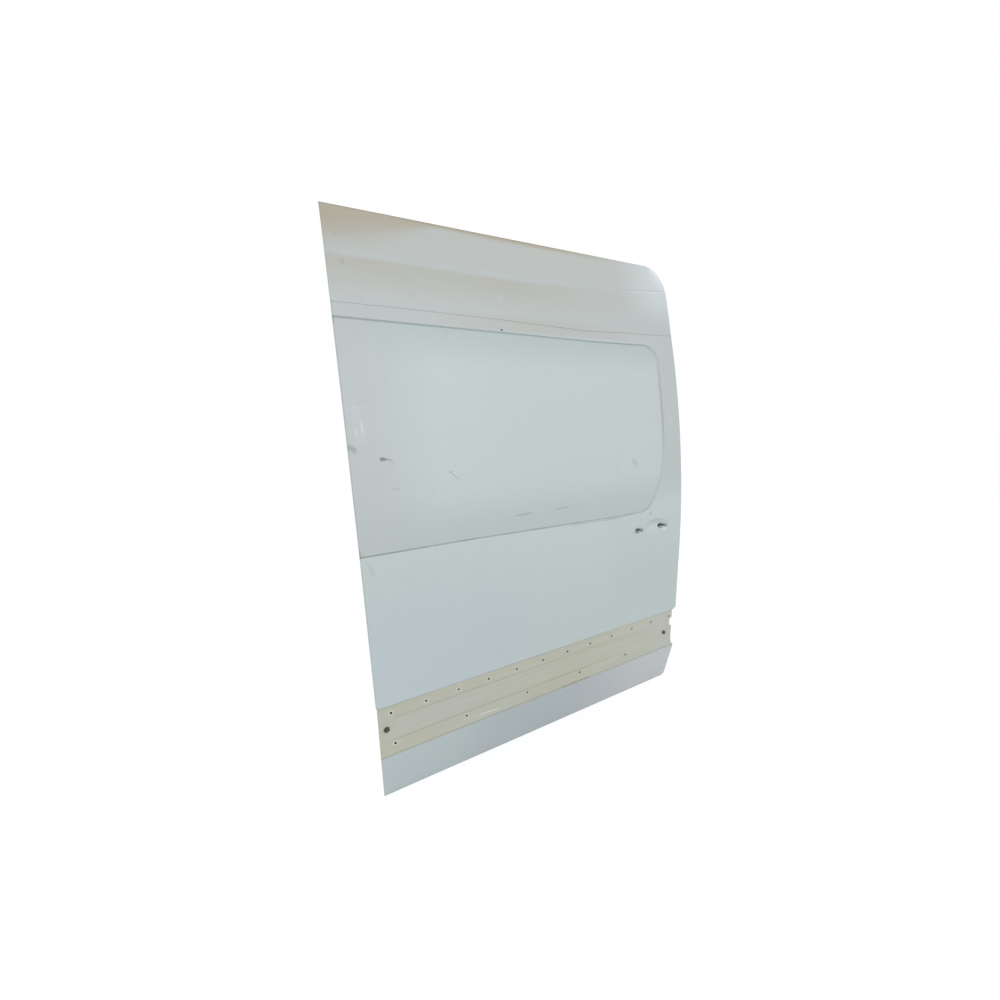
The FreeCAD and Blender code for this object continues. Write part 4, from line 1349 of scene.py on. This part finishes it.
    def lower_outline(self) -> Array:
        """Outline of the main sheet: from the joint down the rear edge, along the foot and up the front edge.

        Returns:
            Places, x and z, one row each.
        """
        form = self.form
        steps = [(0.187, 0.004, 0.001), (0.372, 0.006, 0.001), (0.290, 0.004, 0.0015), (0.331, 0.004, 0.0015)]
        fall = graded(self.clear, self.joint, 0.03, steps, 0.5)
        down = np.stack([form.rear_edge(fall), fall], axis=1)[::-1]
        end = form.width - form.low_corner - self.corner_gaps[0]
        foot = graded(self.clear, end, 0.05, [(1.3, 0.005, 0.003)], 0.5)
        along = np.stack([foot, np.zeros_like(foot)], axis=1)
        rise = graded(0, self.joint, 0.03, steps + [(0.015, 0.016, 0.002)], 0.5)
        up = np.stack([form.front_edge(rise), rise], axis=1)
        return np.concatenate([down, [[0, 0]], along, up])

    def upper_outline(self) -> Array:
        """Outline of the roof extension: up the front edge, round the corner, along the top, down the rear.

        Returns:
            Places, x and z, one row each.
        """
        form = self.form
        r = form.top_corner
        turn = np.linspace(0, math.pi / 2, 25)
        _, under, behind = self.corner_gaps
        low = np.linspace(self.joint + self.seam_clear, form.height + form.rise - r - under, 14)
        front = np.stack([np.full_like(low, form.width), low], axis=1)
        x = form.width - r + r * np.cos(turn)
        corner = np.stack([x, form.height + form.rise * x / form.width - r + r * np.sin(turn)], axis=1)
        back = np.linspace(form.width - r - behind, self.clear, 40)
        top = np.stack([back, form.top(back)], axis=1)
        fall = np.linspace(form.height - self.clear, self.joint + self.roof_clear, 14)
        rear = np.stack([np.zeros_like(fall), fall], axis=1)
        return np.concatenate([front, corner, top, [[0, form.height]], rear])

    def build(self) -> list[Piece]:
        """Builds the sheets and their folded edges, which stand for the two outer skins of the CAD.

        Returns:
            The pieces.
        """
        body = self.body_panel()
        band = self.band_and_sill()
        roof = self.roof_extension()
        self.folded_edge("lower_folded_edge", self.lower_outline(), False)
        self.folded_edge("roof_folded_edge", self.upper_outline(), True)
        self.keyhole_collars()
        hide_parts("main_outer_skin")
        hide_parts("main_outer_skin")
        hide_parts("roof_extension_skin")
        return self.built


@dataclass
class TrimClips(SubAssembly):
    """The two clips of the lost rub strip: six-sided heads with a dished middle and a stud."""

    radii: Place = (0.0098, 0.0085)
    head: float = 0.009
    flat: float = 0.87
    corner: float = 0.985
    # Share of the radius, and depth in millimetres from the front of the head, down the clip's profile
    profile: tuple[Place, ...] = (
        (0.0, 2.4), (0.20, 2.4), (0.26, 2.8), (0.28, 5.2), (0.36, 5.4), (0.56, 5.2), (0.62, 4.7),
        (0.80, 4.6), (0.93, 4.8), (1.0, 5.6), (1.0, 8.6), (0.98, 9.0), (0.47, 9.0), (0.45, 10.0),
        (0.44, 20.0), (0.30, 21.0), (0.0, 21.0))

    def clip(self, name: str, x: float, z: float, radius: float) -> Piece:
        """One clip: a profile turned about its axis, its radius drawn out to a rounded hexagon.

        The radius at an angle is the hexagon's apothem over the cosine of the angle to the nearest flat,
        mixed with a circle for the stud and the stem.

        Args:
            name: Name of the piece.
            x: Place along the door.
            z: Height.
            radius: Radius of the head over its corners.

        Returns:
            The clip.
        """
        share, depth = np.array(self.profile).T
        six = ((share > 0.5) & (share <= 1.0)).astype(float)[:, None]
        turn = circle(72)
        hexagon = np.minimum(self.flat / np.cos(to_flat(turn)), self.corner)
        reach = radius * share[:, None] * (six * hexagon + (1 - six))
        y = (self.form.band_depth - self.head + depth / 1000)[:, None]
        points = points_of(x + reach * np.cos(turn), y, z + reach * np.sin(turn))
        faces = grid_faces(len(share), len(turn), True)[:, ::-1]
        return self.keep(add_mesh(name, points, faces), self.finishes.clip)

    def build(self) -> list[Piece]:
        """Builds both clips in place of the CAD's.

        Returns:
            The pieces.
        """
        for name, place, radius in zip(("rear", "front"), CLIP_PLACES, self.radii):
            piece = self.clip(name + "_strip_clip", *place, radius)
            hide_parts(name + "_trim_clip")
        return self.built


@dataclass
class FrameDetails(SubAssembly):
    """Small things on the inner side: sealer, spot welds, weld nuts, rims, and mastic behind the beam."""

    sheets: OuterSheets
    frame_depth: float = 0.070
    panel: float = 0.0012
    bead_half: float = 0.0026
    bead_inset: float = 0.0113
    bead_seat: float = 0.0030
    bead_height: float = 0.0022
    # Height, radians a metre and phase of each unevenness of the bead's width
    bead_wobble: Line = ((0.0005, 61, 0), (0.0003, 173, 1))
    weld_radius: float = 0.0032
    weld_height: float = 0.0005
    # Shares of the radius and the height along a weld's profile
    weld_dish: Line = ((1.0, 0.0), (0.85, 0.8), (0.6, 1.0), (0.3, 0.55), (0.02, 0.45))
    # Start, end and pitch of the rows of welds: round the closing panel, and on the lips of the beams
    panel_rows: tuple[tuple[Place, Place, float], ...] = (
        ((0.108, 0.101), (1.222, 0.101), 0.056), ((0.108, 0.781), (1.222, 0.781), 0.056),
        ((0.107, 0.15), (0.107, 0.735), 0.052), ((1.223, 0.15), (1.223, 0.735), 0.052))
    lip_rows: tuple[tuple[Place, Place, float], ...] = (
        ((0.16, 0.861), (1.17, 0.861), 0.06), ((0.16, 1.488), (1.17, 1.488), 0.06))
    # Depth of the lower and the upper beam's lip behind the skin, and their metal
    lip_depths: Place = (0.033, 0.024)
    metal: float = 0.0014
    nut_flat: float = 0.0070
    # Share of the hexagon, plain radius and height along a nut's profile
    nut_profile: Line = ((0, 0.0043, 0.0), (1, 0, 0.0), (1, 0, -0.0078), (0, 0.0052, -0.0080),
                         (0, 0.0043, -0.0074), (0, 0.0043, 0.0))
    pad_half: Triple = (0.024, 0.0125, 0.012)
    pad_place: Place = (0.0132, 0.530)
    # First and last place of the mastic pads and their number, and the powers that square them off
    pad_row: tuple[float, float, int] = (0.22, 1.11, 6)
    pad_powers: Place = (0.8, 0.7)
    # Middle x and z of the bolts of the lower arm plate and the hinge plate, and half their pitches
    bolts: Line = ((1.080, 0.057, 0.055, 0.017), (0.059, 0.607, 0.018, 0.040))
    hole_columns: tuple[float, ...] = (0.3003, 0.6650, 1.0297)
    hole_rows: tuple[Place, ...] = ((0.455, 0.103), (0.662, 0.056))
    hole_half: float = 0.118
    hole_corner: float = 0.034
    # Distance off the hole's outline and rise over the panel, along the profile of a hole's rim
    hole_lip: tuple[Place, ...] = ((0.0075, 0.0001), (0.0055, 0.0008), (0.0030, 0.0013), (0.0008, 0.0011),
                                   (-0.0006, 0.0002), (-0.0012, -0.0018), (-0.0012, -0.0070))

    def sealer_bead(self, name: str, path: Array, roof: bool) -> None:
        """Bead of sealer over the fold's inner edge: a low arch carried along the outline, uneven in width.

        Args:
            name: Name of the piece.
            path: Outline places, with the door on the left.
            roof: True for the roof extension's face.
        """
        turn = np.linspace(0, math.pi, 7)
        run = run_of(path)
        half = np.full_like(run, self.bead_half)
        for height, turns, phase in self.bead_wobble:
            half += height * np.sin(run * turns + phase)
        x, z = beside(path, self.bead_inset - half[:, None] * np.cos(turn))
        face = self.form.roof_face(x, z) if roof else self.form.face(x, z)
        points = points_of(x, face + self.bead_seat + self.bead_height * np.sin(turn), z)
        self.keep(add_mesh(name, points, grid_faces(*x.shape)), self.finishes.sealer)

    def weld_row(self, start: Place, end: Place, pitch: float) -> Array:
        """Places of a row of spot welds between two ends, about a pitch apart.

        Args:
            start: First weld.
            end: Last weld.
            pitch: Wanted distance.

        Returns:
            Places, x and z, one row each.
        """
        a, b = np.array(start), np.array(end)
        count = max(int(round(np.linalg.norm(b - a) / pitch)), 1)
        return a + (b - a) * np.linspace(0, 1, count + 1)[:, None]

    def welds(self, name: str, middles: Array) -> None:
        """Shallow dished spot welds that face the inside, all in one mesh.

        Args:
            name: Name of the piece.
            middles: Middles, x, y and z, one row a weld.
        """
        turn = circle(16)
        share, rise = np.array(self.weld_dish).T[:, :, None]
        radius = share * self.weld_radius
        one = points_of(radius * np.cos(turn), self.weld_height * rise, radius * np.sin(turn))
        cells = grid_faces(len(share), len(turn), True)[:, ::-1]
        forms = [one + middle for middle in middles]
        self.keep(add_forms(name, forms, cells), self.finishes.inner)

    def spot_welds(self) -> None:
        """Spot welds round the closing panel, and along the lips of the beams at the window opening.

        A lip follows the leaning arc, on a radius that is less by the lip's depth.
        """
        x, z = np.concatenate([self.weld_row(*row) for row in self.panel_rows]).T
        self.welds("panel_spot_welds", points_of(x, self.frame_depth + self.panel, z))
        rows = [self.weld_row(*row) for row in self.lip_rows]
        x, z = np.concatenate(rows).T
        lip = np.repeat(self.lip_depths, [len(row) for row in rows]) + self.metal
        over = np.maximum(z - self.form.arc_foot, 0)
        y = self.form.arc_radius - np.sqrt((self.form.arc_radius - lip) ** 2 - over ** 2)
        self.welds("beam_lip_welds", points_of(x, y, z))

    def weld_nuts(self) -> None:
        """Six-sided weld nuts behind the bolt holes of the two arm plates.

        Each nut is a ring profile turned about the bolt, its outer radius drawn out to a hexagon.
        """
        places = [(x + i * wide, z + j * tall) for x, z, wide, tall in self.bolts
                  for i in (-1, 1) for j in (-1, 1)]
        turn = circle(48)
        outer, inner, depth = np.array(self.nut_profile).T[:, :, None]
        radius = outer * (self.nut_flat / np.cos(to_flat(turn))) + inner
        one = points_of(radius * np.cos(turn), depth, radius * np.sin(turn))
        nuts = [one + np.array([x, self.frame_depth, z]) for x, z in places]
        cells = grid_faces(len(depth), len(turn), True)
        self.keep(add_forms("weld_nuts", nuts, cells), self.finishes.steel)

    def access_rims(self) -> None:
        """Pressed rims of the six access holes in one mesh: a low lip that turns into a flange to the skin.

        The outline of a hole is a rounded rectangle, four arcs joined by straight runs, and each profile
        point stands off it by a distance along its normal.
        """
        off, rise = np.array(self.hole_lip).T[:, :, None]
        r = self.hole_corner
        turn = circle(64) + math.pi / 64
        aside = np.sign(np.cos(turn)) * (self.hole_half - r)
        rims = []
        for column in self.hole_columns:
            for row, half in self.hole_rows:
                x = column + aside + (r + off) * np.cos(turn)
                z = row + np.sign(np.sin(turn)) * (half - r) + (r + off) * np.sin(turn)
                rims.append(points_of(x, self.frame_depth + self.panel + rise, z))
        cells = grid_faces(len(off), len(turn), True)
        self.keep(add_forms("access_hole_rims", rims, cells), self.finishes.inner)

    def mastic(self) -> None:
        """Soft pads between the skin and the impact beam.

        Each is a ball squared off: its sine up and its cosine across are raised to a power.
        """
        power_up, power_across = self.pad_powers
        turn = circle(28)
        up = np.linspace(-math.pi / 2, math.pi / 2, 13)[:, None]
        tall = np.sign(np.sin(up)) * np.abs(np.sin(up)) ** power_up
        flat = np.cos(up) ** power_across
        half_x, half_y, half_z = self.pad_half
        one = points_of(half_x * flat * np.cos(turn), half_y * tall, half_z * flat * np.sin(turn))
        pads = [one + np.array([x, *self.pad_place]) for x in np.linspace(*self.pad_row)]
        cells = grid_faces(len(up), len(turn), True)[:, ::-1]
        self.keep(add_forms("beam_mastic", pads, cells), self.finishes.sealer)

    def build(self) -> list[Piece]:
        """Builds all the small pieces.

        Returns:
            The pieces.
        """
        self.sealer_bead("lower_edge_sealer", self.sheets.lower_outline(), False)
        self.sealer_bead("roof_edge_sealer", self.sheets.upper_outline(), True)
        self.spot_welds()
        self.weld_nuts()
        self.access_rims()
        self.mastic()
        return self.built


@dataclass
class InnerFrame(SubAssembly):
    """CAD solids that show on the inner side, dressed where they stand."""

    steel: tuple[str, ...] = ("lower_arm_plate", "centre_hinge_plate", "upper_arm_bracket",
                              "rear_latch_plate", "front_latch_plate")
    plastic: tuple[str, ...] = ("rear_guide_wedge", "front_guide_wedge")
    rubber: tuple[str, ...] = ("rubber_buffers",)

    def build(self) -> list[Piece]:
        """Gives each shown solid its finish.

        Returns:
            The shown solids.
        """
        choices = {name: (self.finishes.steel, Slot.STEEL) for name in self.steel}
        choices |= {name: (self.finishes.plastic, Slot.PLASTIC) for name in self.plastic}
        choices |= {name: (self.finishes.rubber, Slot.RUBBER) for name in self.rubber}
        for name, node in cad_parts.items():
            if node.hide_render:
                continue
            finish, slot = choices.get(name, (self.finishes.inner, Slot.INNER))
            node.data.materials.clear()
            self.keep(node, finish)
        return self.built


@dataclass
class Studio:
    """Pale floor, soft light and the camera at the photograph's viewing angle."""

    camera_place: Triple = (-0.0493, -1.0559, 1.2273)
    right: Triple = (0.90419, -0.42596, -0.03171)
    down: Triple = (-0.10626, -0.15241, -0.98259)
    forward: Triple = (0.41371, 0.89181, -0.18307)
    sensor: float = 36
    lens: float = 12.968
    near_clip: float = 0.01
    shift: Place = (0.0024, -0.0068)
    floor_half: float = 40
    floor_drop: float = 0.0008
    floor_grey: float = 0.86
    floor_white: Place = (0.8, 1.10)
    sky: Triple = (0.97, 0.99, 1.0)
    sky_strength: float = 0.72

    def white_to_camera(self, tree: Tree, plain: Socket, share: float, strength: float) -> Socket:
        """Shader that shows white to the camera and in reflections, and the plain shader to all other rays.

        Args:
            tree: Node tree to add to.
            plain: The shader that lights the door.
            share: Share of white that the camera sees.
            strength: Strength of that white.

        Returns:
            The mixed shader.
        """
        path = add_node(tree, "LightPath").outputs
        either = add_sum(tree, "MAXIMUM", path["Is Glossy Ray"], path["Is Transmission Ray"])
        seen = add_sum(tree, "MULTIPLY", add_sum(tree, "MAXIMUM", path["Is Camera Ray"], either), share)
        kind = "Background" if plain.node.type == "BACKGROUND" else "Emission"
        white = add_node(tree, kind, {0: (1, 1, 1, 1), 1: strength})
        return add_node(tree, "MixShader", {0: seen, 1: plain, 2: white.outputs[0]}).outputs[0]

    def floor(self) -> None:
        """Wide floor under the door's bottom edge."""
        level, half = float(CORNER[2]) - self.floor_drop, self.floor_half
        corners = [(x * half, y * half, level) for x, y in ((-1, -1), (1, -1), (1, 1), (-1, 1))]
        mesh = bpy.data.meshes.new("floor")
        mesh.from_pydata(corners, [], [(0, 1, 2, 3)])
        floor = bpy.data.objects.new("floor", mesh)
        bpy.context.scene.collection.objects.link(floor)
        material = bpy.data.materials.new("pale_floor")
        material.use_nodes = True
        tree = material.node_tree
        tree.nodes.clear()
        pale = add_node(tree, "BsdfDiffuse", {0: (*[self.floor_grey] * 3, 1)}).outputs[0]
        add_node(tree, "OutputMaterial", {0: self.white_to_camera(tree, pale, *self.floor_white)})
        mesh.materials.append(material)

    def world(self) -> None:
        """Even light from all round, white to the camera."""
        world = bpy.data.worlds.new("studio")
        bpy.context.scene.world = world
        world.use_nodes = True
        tree = world.node_tree
        tree.nodes.clear()
        plain = add_node(tree, "Background", {0: (*self.sky, 1), 1: self.sky_strength}).outputs[0]
        add_node(tree, "OutputWorld", {0: self.white_to_camera(tree, plain, 1.0, 1.0)})

    def lamp(self, name: str, place: Triple, aim: Triple, size: float, power: float) -> None:
        """One large soft lamp.

        Args:
            name: Name of the lamp.
            place: Where it stands, in door places.
            aim: What it faces, in door places.
            size: Side of its square.
            power: Power in watts.
        """
        data = bpy.data.lights.new(name, "AREA")
        data.size = size
        data.energy = power
        lamp = bpy.data.objects.new(name, data)
        bpy.context.scene.collection.objects.link(lamp)
        lamp.location = (np.array(place) + CORNER).tolist()
        way = Vector(np.array(aim) - np.array(place))
        lamp.rotation_euler = way.to_track_quat("-Z", "Y").to_euler()

    def camera(self) -> None:
        """Camera with the photograph's place, turn and lens."""
        data = bpy.data.cameras.new("photo_camera")
        data.sensor_width = self.sensor
        data.lens = self.lens
        data.shift_x, data.shift_y = self.shift
        data.clip_start = self.near_clip
        camera = bpy.data.objects.new("photo_camera", data)
        bpy.context.scene.collection.objects.link(camera)
        right, down, forward = (Vector(axis).normalized() for axis in (self.right, self.down, self.forward))
        turn = Matrix([right, -down, -forward]).transposed().to_4x4()
        camera.matrix_world = Matrix.Translation(Vector(np.array(self.camera_place) + CORNER)) @ turn
        bpy.context.scene.camera = camera

    def build(self) -> None:
        """Sets up the whole studio."""
        bpy.context.scene.view_settings.view_transform = "Standard"
        self.floor()
        self.world()
        self.lamp("sky_panel", place=(0.4, -3.2, 2.6), aim=(0.665, 0.0, 1.0), size=3.0, power=33)
        self.lamp("rear_panel", place=(0.8, 3.4, 3.0), aim=(0.665, 0.0, 0.9), size=3.0, power=45)
        self.camera()


def main() -> None:
    """Builds the door's looks piece by piece and sets up the studio."""
    logging.basicConfig(level=logging.INFO, format="%(message)s")
    form, finishes = DoorForm(), make_finishes()
    sheets = OuterSheets(form, finishes)
    made = sheets.build()
    made += TrimClips(form, finishes).build()
    made += FrameDetails(form, finishes, sheets).build()
    made += InnerFrame(form, finishes).build()
    for piece in made:
        log.info("piece %s: %d faces", piece.name, len(piece.data.polygons))
    Studio().build()


if __name__ == "__main__":
    main()
